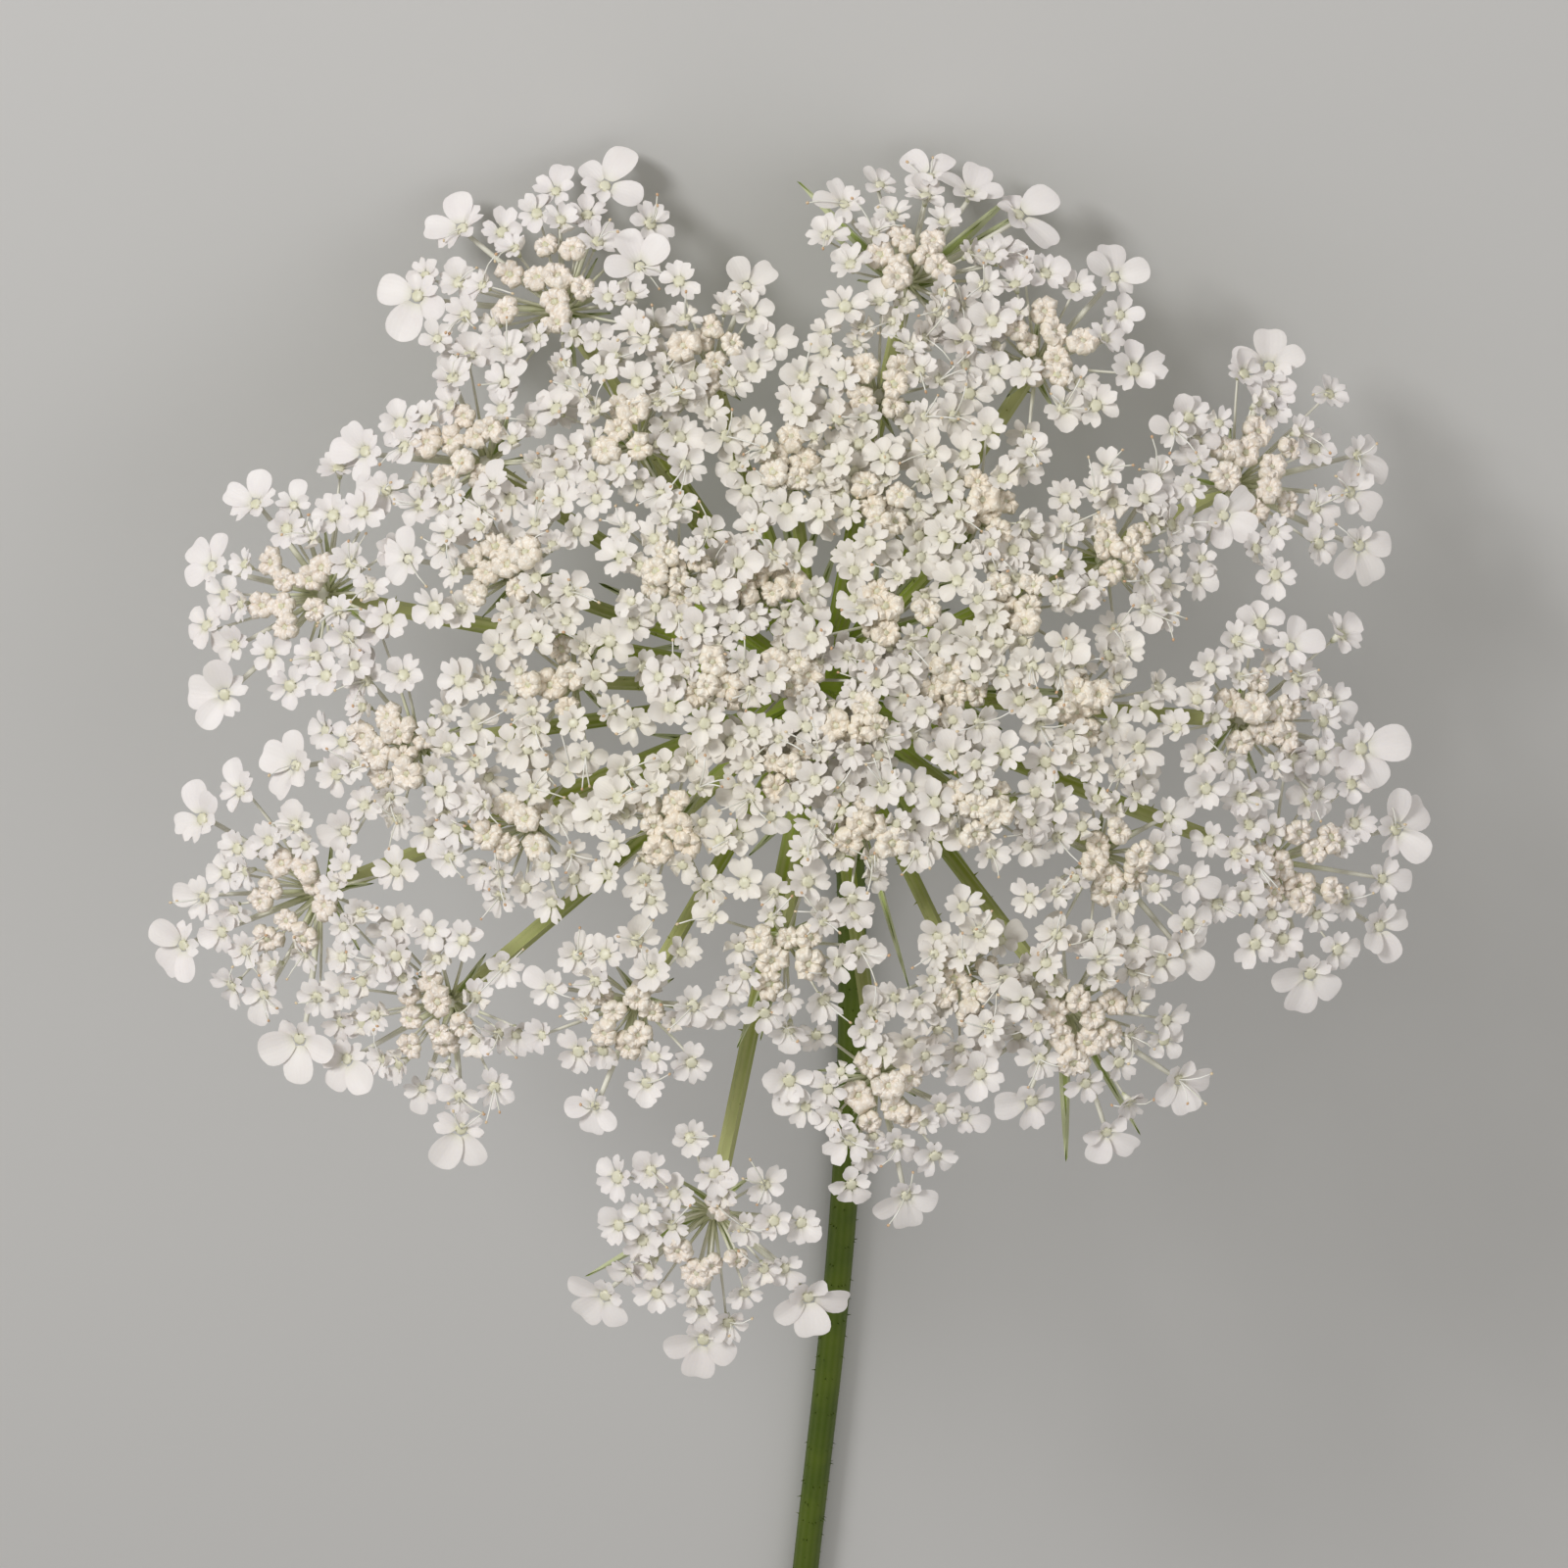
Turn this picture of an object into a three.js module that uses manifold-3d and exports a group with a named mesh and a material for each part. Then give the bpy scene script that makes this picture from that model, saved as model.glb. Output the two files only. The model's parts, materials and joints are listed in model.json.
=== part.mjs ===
// A cut flower of wild carrot, lying on a table: a curved stem that carries a flat head of
// forty-one small umbels, here called umbellets, each a bunch of white florets and cream buds.
// Millimetres, +Z up. The table is z = 0, the stem lies along -Y, and the head stands on its
// rim at +Y with its face looking up and forward. The origin is under the middle of it all.

import * as THREE from "three";
import { mergeVertices } from "three/addons/utils/BufferGeometryUtils.js";
import Module from "manifold-3d";

const wasm = await Module();
wasm.setup();

// Driving dimensions of the whole flower
const headPlace = new THREE.Vector3(0, 0, 24); // where the rays meet, above the table
const headLean = THREE.MathUtils.degToRad(50); // the head's axis above the table
const stemDiameter = 2.6;
const stemLength = 142;
const stemBow = 2.7; // how far the stem swings sideways, first to one side and then the other
const stemBowSpan = 107; // along the stem, from the head to where it swings back past
const restDepth = 0.12; // how far the lowest edges of the stem are pressed flat on the table
const clearance = 0.3; // between pieces that touch
const looseGap = 0.12; // the least gap between florets of neighbouring umbellets

// The head, measured from where the rays meet: its rim and its middle rise by these amounts
const rimReach = 42;
const rimRise = 7;
const middleRise = 18;
const rimFaceLean = THREE.MathUtils.degToRad(24); // an umbellet at the rim faces outwards
const receptacleRadius = 3.2;
const receptacleHeight = 1.9;

// Where each umbellet stands on the head's face, seen along its axis: across, up, and how wide
// its florets spread from its middle
const umbelletPlaces = [
  [-21.5, 31, 9.5], [7, 33, 8], [17.5, 26, 7.5], [34, 16.5, 9.5], [34, -3, 8],
  [37, -14.5, 8.5], [22.5, -14, 7.5], [20, -26.5, 8], [11, -23.5, 6], [4.5, -32, 7.5],
  [-9, -43.5, 9], [-15, -26, 7], [-30.5, -26, 8], [-41.5, -17, 9.5], [-41, 7.5, 9],
  [-33, -5, 7.5], [-27.5, 18, 8], [-9, 25, 6.5], [4.5, 23, 6.5], [-15, 19, 6],
  [-25, 8.5, 7], [-20, 0, 6.5], [-23.5, -11.5, 6.5], [-12, -11.5, 6], [-3, -21, 6.5],
  [-2.5, 16.5, 5], [4.5, 13, 5], [12.5, 13, 6], [23, 10, 6.5], [-11.5, 8, 5.5],
  [-4.5, 7, 4.5], [5, 4.5, 4.5], [15, 5.5, 5], [20, -2, 5.5], [9.5, -1, 4.5],
  [12, -10, 5], [3, -11.5, 5], [-8, -0.5, 4.5], [-2, 0, 4], [-3, -6.5, 4.5], [2.5, -3.5, 4],
];

// The rings of an umbellet, from its edge to its middle. reach is a share of the spread, and
// count grows with the spread.
const rings = [
  { reach: 0.9, base: 2.2, perSpread: 0.48, bud: false },
  { reach: 0.55, base: 0, perSpread: 0.31, bud: false },
  { reach: 0.3, base: 0, perSpread: 0.3, bud: true },
  { reach: 0.05, base: 1, perSpread: 0, bud: true },
];
const floretRadius = 2.6; // larger than life, as one stands for two or three
const budRadius = 1.5;
const cleftShare = 0.58; // how far out the clefts between the petals lie
const bigPetalGain = 0.8; // petals that grow by more than this get blunt, wide tips
const rimPetalGain = 1.35; // how much longer the outward petals grow at the head's rim
const pedicelRadius = 0.38;
const layerThickness = 1.5; // florets this far apart in height pass over each other

// Park and Miller's generator, so that the same seed gives the same flower everywhere
let seedState = 4132;
function random() {
  seedState = (seedState * 16807) % 2147483647;
  return seedState / 2147483647;
}
const spreadOut = (amount) => amount * (2 * random() - 1);
const roundUp = (value) => Math.floor(value + 0.5);

const green = new THREE.MeshStandardMaterial({ color: 0x6c8a3e, roughness: 0.6, metalness: 0 });
const leafGreen = new THREE.MeshStandardMaterial({ color: 0x55742f, roughness: 0.6, metalness: 0 });
const white = new THREE.MeshStandardMaterial({ color: 0xf1eeea, roughness: 0.55, metalness: 0 });

function toSolid(geometry) {
  const bare = geometry.index ? geometry.toNonIndexed() : geometry.clone();
  bare.deleteAttribute("normal");
  bare.deleteAttribute("uv");
  const merged = mergeVertices(bare, 1e-4);
  const mesh = new wasm.Mesh({
    numProp: 3,
    vertProperties: merged.attributes.position.array,
    triVerts: new Uint32Array(merged.index.array),
  });
  return new wasm.Manifold(mesh);
}

function toMesh(name, solid, material) {
  const { numProp, numVert, vertProperties, triVerts } = solid.getMesh();
  const positions = new Float32Array(numVert * 3);
  for (let i = 0; i < numVert; i++) {
    positions.set(vertProperties.subarray(i * numProp, i * numProp + 3), i * 3);
  }
  const geometry = new THREE.BufferGeometry();
  geometry.setAttribute("position", new THREE.BufferAttribute(positions, 3));
  geometry.setIndex(new THREE.BufferAttribute(new Uint32Array(triVerts), 1));
  geometry.computeVertexNormals();
  const mesh = new THREE.Mesh(geometry, material);
  mesh.name = name;
  return mesh;
}

function joined(solids) {
  return wasm.Manifold.union(solids);
}

// A closed solid from a stack of rings of points, each ring in its own plane. A ring of one
// point is a tip, and any other first or last ring is capped.
function ringedSolid(pointRings) {
  const points = pointRings.flat();
  const triangles = [];
  const starts = [];
  pointRings.reduce((at, ring) => {
    starts.push(at);
    return at + ring.length;
  }, 0);
  for (let r = 0; r + 1 < pointRings.length; r++) {
    const [lower, upper] = [pointRings[r].length, pointRings[r + 1].length];
    const [a, b] = [starts[r], starts[r + 1]];
    if (upper === 1) {
      for (let i = 0; i < lower; i++) triangles.push(a + i, a + ((i + 1) % lower), b);
      continue;
    }
    if (lower === 1) {
      for (let i = 0; i < upper; i++) triangles.push(a, b + ((i + 1) % upper), b + i);
      continue;
    }
    // Walks round both rings at once, always stepping on the one that lags behind
    for (let i = 0, j = 0; i < lower || j < upper; ) {
      if (j >= upper || (i < lower && (i + 1) / lower <= (j + 1) / upper)) {
        triangles.push(a + (i % lower), a + ((i + 1) % lower), b + (j % upper));
        i++;
      } else {
        triangles.push(a + (i % lower), b + ((j + 1) % upper), b + (j % upper));
        j++;
      }
    }
  }
  for (let i = 1; i + 1 < pointRings[0].length; i++) triangles.push(0, i + 1, i);
  const last = pointRings[pointRings.length - 1];
  const lastStart = starts[starts.length - 1];
  if (last.length > 1) closeTop(last, lastStart, triangles);
  const geometry = new THREE.BufferGeometry().setFromPoints(points);
  geometry.setIndex(triangles);
  return toSolid(geometry);
}

// The top of a floret has five petals, each ending in a cleft: a petal is a fan between its
// clefts, and the clefts close as one more fan. A small ring is a plain fan.
function closeTop(ring, start, triangles) {
  const step = ring.length % 5 || ring.length === 5 ? ring.length : ring.length / 5;
  const fan = (at) => {
    for (let i = 1; i + 1 < at.length; i++) triangles.push(at[0], at[i], at[i + 1]);
  };
  const places = ring.map((_, i) => start + i);
  if (step === ring.length) {
    fan(places);
    return;
  }
  const clefts = places.filter((_, i) => i % step === step - 1);
  clefts.forEach((cleft, i) => {
    const before = clefts[(i + 4) % 5];
    fan([before, ...places.slice(i * step, i * step + step - 1), cleft]);
  });
  fan(clefts);
}

// Two directions that stand square to an axis, the first as near to a wanted one as can be
function squareTo(axis, wanted) {
  const first = wanted.clone().addScaledVector(axis, -wanted.dot(axis)).normalize();
  return [first, new THREE.Vector3().crossVectors(axis, first)];
}

function circle(centre, axis, towards, radius, count, turn = 0) {
  const [first, second] = squareTo(axis, towards);
  return Array.from({ length: count }, (_, i) => {
    const angle = turn + (2 * Math.PI * i) / count;
    return centre
      .clone()
      .addScaledVector(first, radius * Math.cos(angle))
      .addScaledVector(second, radius * Math.sin(angle));
  });
}

// A rod of even thickness along a curve, with flat ends and every other edge set in
function rod(curve, radius, sides, steps, groove) {
  const outline = Array.from({ length: sides }, (_, i) => {
    const angle = (2 * Math.PI * i) / sides;
    const reach = i % 2 ? radius * groove : radius;
    return new THREE.Vector2(reach * Math.cos(angle), reach * Math.sin(angle));
  });
  return toSolid(
    new THREE.ExtrudeGeometry(new THREE.Shape(outline), { steps, extrudePath: curve }),
  );
}

// A three-sided spine that narrows to a point
function spine(from, to, radius, towards) {
  const axis = to.clone().sub(from).normalize();
  return ringedSolid([circle(from, axis, towards, radius, 3), [to]]);
}

// The umbellets in the head's own frame: X across, Y up the face, Z along the head's axis
function placeUmbellets() {
  return umbelletPlaces.map(([across, up, spread], index) => {
    const reach = Math.hypot(across, up);
    const turn = Math.atan2(up, across);
    const share = Math.min(reach / rimReach, 1.1);
    const rise = middleRise - (middleRise - rimRise) * share * share + spreadOut(0.9);
    const lean = rimFaceLean * share;
    const [c, s] = [Math.cos(turn), Math.sin(turn)];
    const face = new THREE.Vector3(Math.sin(lean) * c, Math.sin(lean) * s, Math.cos(lean));
    const outward = new THREE.Vector3(Math.cos(lean) * c, Math.cos(lean) * s, -Math.sin(lean));
    const cup = 2.5 + 0.25 * spread;
    const knob = new THREE.Vector3(across, up, rise).addScaledVector(face, -cup);
    const name = `umbellet_${String(index + 1).padStart(2, "0")}`;
    return { name, spread, reach, turn, share, face, outward, cup, knob, phase: random() };
  });
}

// Every floret and bud of one umbellet: its middle, the way it faces, and how its petals grow
function placeFlorets(umbellet, index) {
  const { spread, face, outward, cup, knob, phase, share } = umbellet;
  const side = new THREE.Vector3().crossVectors(face, outward);
  const rim = Math.min(Math.max((share - 0.55) / 0.25, 0), 1);
  const florets = [];
  rings.forEach((ring, ringIndex) => {
    const count = Math.max(1, roundUp(ring.base + ring.perSpread * spread));
    for (let i = 0; i < count; i++) {
      const angle = 2 * Math.PI * (phase + ringIndex * 0.31 + (i + spreadOut(0.18)) / count);
      const reach = spread * (ring.reach + spreadOut(0.05));
      const height = cup + spreadOut(0.5) + (ring.bud ? -0.3 : 0);
      const across = outward
        .clone()
        .multiplyScalar(Math.cos(angle))
        .addScaledVector(side, Math.sin(angle));
      const middle = knob.clone().addScaledVector(face, height).addScaledVector(across, reach);
      const outwardness = Math.max(0, Math.cos(0.8 * Math.atan2(Math.sin(angle), Math.cos(angle))));
      const gain = ringIndex === 0 ? 0.2 + rimPetalGain * rim * outwardness ** 2 : 0.08;
      florets.push({
        umbellet: index,
        ring: ringIndex,
        bud: ring.bud,
        middle,
        across,
        gain: ring.bud ? 0 : gain,
        size: 1 + spreadOut(0.1),
        radius: ring.bud ? budRadius : floretRadius * (1 + 0.3 * gain),
      });
    }
  });
  return florets;
}

// The way up from the table, as the head sees it
const tableUp = new THREE.Vector3(0, -Math.cos(headLean), Math.sin(headLean));

// Neighbouring florets push each other apart, sideways and in height, as they do in the head,
// and the table holds up the lowest
function settle(florets, rounds = 24) {
  const push = new THREE.Vector3();
  for (let round = 0; round < rounds; round++) {
    for (const floret of florets) {
      const droop = 0.7 * floretRadius * (1 + floret.gain * Math.max(0, floret.across.y));
      const low = floret.middle.dot(tableUp) + headPlace.z - droop;
      if (low < 0) floret.middle.addScaledVector(tableUp, -low);
    }
    for (let i = 0; i < florets.length; i++) {
      for (let j = i + 1; j < florets.length; j++) {
        const [a, b] = [florets[i], florets[j]];
        push.subVectors(b.middle, a.middle);
        const flat = Math.hypot(push.x, push.y);
        const room = a.radius + b.radius;
        if (flat >= room || Math.abs(push.z) >= layerThickness) continue;
        const nearness = Math.hypot(flat / room, push.z / layerThickness);
        if (nearness >= 1) continue;
        const step = 0.2 * (1 - nearness);
        const sideways = (step * room) / Math.max(flat, 0.1);
        const upwards = step * layerThickness * 1.6 * (push.z < 0 ? -1 : 1);
        push.set(push.x * sideways, push.y * sideways, upwards);
        a.middle.sub(push);
        b.middle.add(push);
      }
    }
  }
}

function floretSolid(floret, umbellet) {
  const { middle, across, gain, size, bud } = floret;
  const stalk = middle.clone().sub(umbellet.knob).normalize();
  const axis = umbellet.face.clone().multiplyScalar(0.8).addScaledVector(stalk, 0.45).normalize();
  const neck = middle.clone().addScaledVector(axis, bud ? -0.9 : -0.8);
  const foot = [umbellet.knob.clone()];
  const collar = circle(neck, axis, across, pedicelRadius, 3);
  if (bud) {
    const width = budRadius * size;
    const waist = circle(middle, axis, across, width, 4);
    return ringedSolid([foot, collar, waist, [middle.clone().addScaledVector(axis, width)]]);
  }
  const [first, second] = squareTo(axis, across);
  const petals = [];
  for (let petal = 0; petal < 5; petal++) {
    const turn = (2 * Math.PI * petal) / 5;
    const growth = 1 + gain * Math.max(0, Math.cos(turn)) ** 1.5;
    const blunt = 0.5 / growth ** 0.7;
    const tips = gain > bigPetalGain ? [-blunt, blunt] : [0];
    for (const tip of tips) petals.push([turn + tip, floretRadius * size * growth]);
    petals.push([turn + Math.PI / 5, floretRadius * size * cleftShare]);
  }
  const star = petals.map(([angle, reach]) =>
    middle
      .clone()
      .addScaledVector(first, reach * Math.cos(angle))
      .addScaledVector(second, reach * Math.sin(angle)),
  );
  return ringedSolid([foot, collar, star]);
}

// The small cup where a ray ends and the pedicels begin, and where that ray has to end
function rayEnd(umbellet) {
  const start = rayStart(umbellet);
  const chord = umbellet.knob.clone().sub(start).normalize();
  const direction = umbellet.face.clone().add(chord).normalize();
  const cupHalf = 0.7;
  const base = umbellet.knob.clone().addScaledVector(direction, -cupHalf);
  const brim = umbellet.knob.clone().addScaledVector(direction, cupHalf);
  const cup = ringedSolid([
    circle(base, direction, umbellet.outward, 0.65, 5),
    circle(brim, direction, umbellet.outward, 1.2, 5),
  ]);
  return { cup, direction, tip: base.addScaledVector(direction, -clearance) };
}

function rayStart({ reach, turn }) {
  const start = receptacleRadius * 0.6 * Math.min(1, reach / rimReach);
  return new THREE.Vector3(start * Math.cos(turn), start * Math.sin(turn), 0);
}

// A ray narrows to a point where it is rooted inside the receptacle
function raySolid(umbellet) {
  const start = rayStart(umbellet);
  const { tip, direction } = rayEnd(umbellet);
  const length = tip.distanceTo(start);
  const early = tip.clone().sub(start).multiplyScalar(0.45);
  early.z *= 0.6;
  const curve = new THREE.CubicBezierCurve3(
    start,
    start.clone().add(early),
    tip.clone().addScaledVector(direction, -0.25 * length),
    tip,
  );
  const radius = 0.45 + 0.25 * Math.min(1, umbellet.share);
  const section = (at, width) =>
    circle(curve.getPoint(at), curve.getTangent(at), umbellet.outward, width, 4);
  return ringedSolid([[start], section(0.3, 0.85 * radius), section(0.7, radius), section(1, radius)]);
}

// Narrow green bracteoles that stand out below an umbellet, from the end of its ray
function bracteoles(umbellet) {
  const { tip, direction } = rayEnd(umbellet);
  const side = new THREE.Vector3().crossVectors(umbellet.face, umbellet.outward);
  const root = tip.clone().addScaledVector(direction, -0.5);
  return Array.from({ length: 3 }, (_, i) => {
    const angle = 2 * Math.PI * (umbellet.phase + (i + 0.5) / 3);
    const point = root
      .clone()
      .addScaledVector(umbellet.outward, 0.62 * umbellet.spread * Math.cos(angle))
      .addScaledVector(side, 0.62 * umbellet.spread * Math.sin(angle))
      .addScaledVector(umbellet.face, 0.2);
    return spine(root, point, 0.42, direction);
  });
}

// Where the stem's middle line is, so far along it from the head: an even curve down to the
// table, then straight along it
function stemPlace(run) {
  const radius = stemDiameter / 2;
  const bend = (headPlace.z - radius) / (1 - Math.cos(headLean));
  const angle = Math.max(0, headLean - run / bend);
  const back = bend * (Math.sin(headLean) - Math.sin(angle)) + Math.max(0, run - bend * headLean);
  const drop = bend * (Math.cos(angle) - Math.cos(headLean));
  const swing = stemBow * Math.sin((Math.PI * run) / stemBowSpan);
  return new THREE.Vector3(swing, -back, -drop - restDepth).add(headPlace);
}

function stemSolid() {
  const points = Array.from({ length: 15 }, (_, i) => stemPlace((stemLength * i) / 14));
  const stem = rod(new THREE.CatmullRomCurve3(points), stemDiameter / 2, 10, 14, 0.92);
  return stem.trimByPlane([0, 0, 1], 0);
}

// The whorl of bracts below the head: each is a slim rib with narrow side lobes
function involucreSolid(toHead) {
  const level = -4.6;
  const inner = stemDiameter / 2 + clearance + 0.1;
  const seat = stemPlace(-level - 0.5).applyMatrix4(toHead.clone().invert());
  seat.z = level;
  const profile = [
    [inner, 0], [inner + 0.9, 0], [inner + 1.1, 0.5], [inner + 0.7, 0.9], [inner, 0.9], [inner, 0],
  ].map(([x, y]) => new THREE.Vector2(x, y));
  const ring = new THREE.LatheGeometry(profile, 16).rotateX(Math.PI / 2);
  ring.translate(seat.x, seat.y, seat.z);
  const solids = [toSolid(ring)];
  const up = new THREE.Vector3(0, 0, 1);
  const bracts = 7;
  for (let i = 0; i < bracts; i++) {
    const angle = (2 * Math.PI * (i + spreadOut(0.15))) / bracts;
    const ahead = new THREE.Vector3(Math.cos(angle), Math.sin(angle), -0.12 + spreadOut(0.06));
    const across = new THREE.Vector3(-Math.sin(angle), Math.cos(angle), 0);
    const root = seat.clone().addScaledVector(up, 0.45).addScaledVector(ahead, inner + 0.5);
    const length = 17 + spreadOut(2);
    const along = (share) => root.clone().addScaledVector(ahead, length * share);
    solids.push(spine(root, along(1), 0.5, up));
    for (const hand of [-1, 1]) {
      const tip = along(0.68).addScaledVector(across, 3.2 * hand);
      solids.push(spine(along(0.4), tip, 0.36, up));
    }
  }
  return joined(solids);
}

function nearEachOther(a, b) {
  return (
    Math.hypot(a.knob.x - b.knob.x, a.knob.y - b.knob.y, a.knob.z - b.knob.z) <
    1.15 * (a.spread + b.spread) + 5
  );
}

// Tries a floret where it settled, then a little lower, higher or smaller, until it is clear of
// every neighbouring umbellet
function clearFloret(floret, umbellet, neighbours) {
  for (const [lift, size] of [[0, 1], [-0.8, 1], [0.8, 1], [0, 0.85], [-1.5, 0.85], [1.4, 0.85], [0, 0.7]]) {
    const moved = {
      ...floret,
      middle: floret.middle.clone().addScaledVector(umbellet.face, lift),
      size: floret.size * size,
    };
    const solid = floretSolid(moved, umbellet);
    if (neighbours.every((other) => solid.minGap(other, looseGap) >= looseGap)) return solid;
  }
  return null;
}

const umbellets = placeUmbellets();
const florets = umbellets.flatMap(placeFlorets);
settle(florets);

const head = new THREE.Group();
head.position.copy(headPlace);
head.rotation.x = headLean - Math.PI / 2;

// What would reach below the table is pressed flat on it
const aboveTable = (solid) => solid.trimByPlane(tableUp.toArray(), -headPlace.z);

// The receptacle and the rays come first, and the florets keep clear of them
const receptacle = new THREE.SphereGeometry(receptacleRadius, 10, 5).scale(
  1, 1, receptacleHeight / receptacleRadius,
);
const flare = new THREE.CylinderGeometry(receptacleRadius * 0.8, stemDiameter / 2, 3, 10)
  .rotateX(Math.PI / 2)
  .translate(0, 0, -1.8);
const rays = joined([toSolid(receptacle), toSolid(flare), ...umbellets.map(raySolid)]);
const cups = umbellets.map((umbellet) => rayEnd(umbellet).cup);

const finished = [];
umbellets.forEach((umbellet, index) => {
  const others = [rays];
  umbellets.forEach((other, place) => {
    if (place === index || !nearEachOther(other, umbellet)) return;
    others.push(place < index ? finished[place] : cups[place]);
  });
  const solids = [cups[index]];
  for (const floret of florets) {
    if (floret.umbellet !== index) continue;
    const solid = clearFloret(floret, umbellet, others);
    if (solid) solids.push(solid);
  }
  const solid = aboveTable(joined(solids));
  finished.push(solid);
  head.add(toMesh(umbellet.name, solid, white));
});

// The stem with its receptacle, rays and bracteoles is one green body
const toHead = new THREE.Matrix4().compose(
  head.position,
  new THREE.Quaternion().setFromEuler(head.rotation),
  new THREE.Vector3(1, 1, 1),
);
const greenParts = [rays];
for (const umbellet of umbellets.filter((one) => one.share > 0.6)) {
  for (const bracteole of bracteoles(umbellet)) {
    if (finished.every((other) => bracteole.minGap(other, looseGap) >= looseGap)) {
      greenParts.push(bracteole);
    }
  }
}
const stem = joined([joined(greenParts).transform(toHead.elements), stemSolid()]);

const lying = new THREE.Group();
lying.add(toMesh("stem", stem, green));
head.add(toMesh("involucre", involucreSolid(toHead), leafGreen));
lying.add(head);

const bounds = new THREE.Box3().setFromObject(lying, true);
const middle = bounds.getCenter(new THREE.Vector3());
lying.position.set(-middle.x, -middle.y, -bounds.min.z);

const flower = new THREE.Group();
flower.add(lying);

export default flower;
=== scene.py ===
import json
import math

import bpy
import numpy as np
from mathutils import Matrix, Vector

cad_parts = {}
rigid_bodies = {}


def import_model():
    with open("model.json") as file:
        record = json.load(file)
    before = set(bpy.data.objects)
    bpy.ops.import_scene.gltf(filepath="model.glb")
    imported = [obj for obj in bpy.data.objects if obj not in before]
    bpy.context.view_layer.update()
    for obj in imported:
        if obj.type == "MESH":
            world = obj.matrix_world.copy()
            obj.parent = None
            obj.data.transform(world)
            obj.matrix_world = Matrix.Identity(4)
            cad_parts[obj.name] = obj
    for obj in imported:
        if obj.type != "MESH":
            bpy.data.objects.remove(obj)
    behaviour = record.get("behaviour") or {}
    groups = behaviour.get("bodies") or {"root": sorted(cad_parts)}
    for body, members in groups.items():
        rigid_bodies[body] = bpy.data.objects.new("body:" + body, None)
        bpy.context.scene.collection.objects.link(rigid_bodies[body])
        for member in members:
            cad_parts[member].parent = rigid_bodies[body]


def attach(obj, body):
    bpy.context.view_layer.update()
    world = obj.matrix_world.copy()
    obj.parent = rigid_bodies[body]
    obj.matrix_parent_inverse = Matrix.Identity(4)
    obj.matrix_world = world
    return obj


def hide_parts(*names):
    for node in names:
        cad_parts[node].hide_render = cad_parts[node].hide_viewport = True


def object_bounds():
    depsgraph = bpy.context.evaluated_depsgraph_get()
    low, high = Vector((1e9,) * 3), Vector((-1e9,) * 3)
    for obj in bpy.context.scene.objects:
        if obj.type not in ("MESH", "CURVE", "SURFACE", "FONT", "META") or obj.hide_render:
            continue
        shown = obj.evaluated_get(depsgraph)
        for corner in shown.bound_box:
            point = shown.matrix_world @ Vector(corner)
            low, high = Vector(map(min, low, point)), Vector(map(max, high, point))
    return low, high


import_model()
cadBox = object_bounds()
print("frame loaded")

# Everything is modelled in millimetres round the world's origin, and made metres at the end


class Draws:
    # the same seed gives the same flower on every run
    top = 2147483647

    def __init__(self, seed):
        self.state = seed

    def share(self):
        self.state = self.state * 16807 % self.top
        return self.state / self.top

    def about(self, amount):
        return amount * (2 * self.share() - 1)

    def turn(self):
        return 6.28 * self.share()

    def one(self, choices):
        return choices[int(self.share() * len(choices)) % len(choices)]


# Helpers for modelling by hand

def setMode(mode):
    bpy.ops.object.mode_set(mode=mode)


def clearSelection():
    bpy.ops.object.select_all(action="DESELECT")


def activate(piece):
    clearSelection()
    piece.select_set(True)
    bpy.context.view_layer.objects.active = piece


def takeNew(name):
    piece = bpy.context.active_object
    piece.name = name
    bpy.ops.object.transform_apply(location=True, rotation=True, scale=True)
    return piece


def addBall(name, segments, rings, radius):
    clearSelection()
    bpy.ops.mesh.primitive_uv_sphere_add(segments=segments, ring_count=rings, radius=radius)
    return takeNew(name)


def addCone(name, sides, foot, top, length, height):
    # from its radius at the foot to its radius at the top, with its middle at that height
    clearSelection()
    bpy.ops.mesh.primitive_cone_add(
        vertices=sides, radius1=foot, radius2=top, depth=length, location=(0, 0, height),
        end_fill_type="TRIFAN",
    )
    return takeNew(name)


def finished(piece, material, angle=None):
    # smooth all over, or only where its faces meet by less than the angle
    piece.data.materials.append(material)
    if angle:
        bpy.ops.object.shade_smooth_by_angle(angle=math.radians(angle))
    else:
        bpy.ops.object.shade_smooth()
    return piece


def pickVerts(piece, chosen, places=None):
    # leaves the piece in edit mode with just those vertices selected, by where they are now or,
    # given their places, by where they were
    activate(piece)
    setMode("EDIT")
    bpy.ops.mesh.select_mode(type="VERT")
    bpy.ops.mesh.select_all(action="DESELECT")
    setMode("OBJECT")
    for vertex in piece.data.vertices:
        vertex.select = chosen(places[vertex.index] if places else vertex.co)
    setMode("EDIT")


def shapeVerts(piece, chosen, move=None, size=None, centre=(0, 0, 0), places=None):
    pickVerts(piece, chosen, places)
    if size:
        bpy.ops.transform.resize(value=size, center_override=centre)
    if move:
        bpy.ops.transform.translate(value=move)
    setMode("OBJECT")


def cutLong(piece, cuts):
    # cuts the edges that run from the bottom to the top of a piece one unit long
    pickVerts(piece, lambda co: False)
    bpy.ops.mesh.select_mode(type="EDGE")
    setMode("OBJECT")
    verts = piece.data.vertices
    for edge in piece.data.edges:
        low, high = sorted(verts[i].co.z for i in edge.vertices)
        edge.select = high - low > 0.9
    setMode("EDIT")
    bpy.ops.mesh.subdivide(number_cuts=cuts)
    setMode("OBJECT")


def copyOf(piece, matrix):
    made = bpy.data.objects.new(piece.name, piece.data.copy())
    made.data.transform(matrix)
    bpy.context.scene.collection.objects.link(made)
    return made


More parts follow.
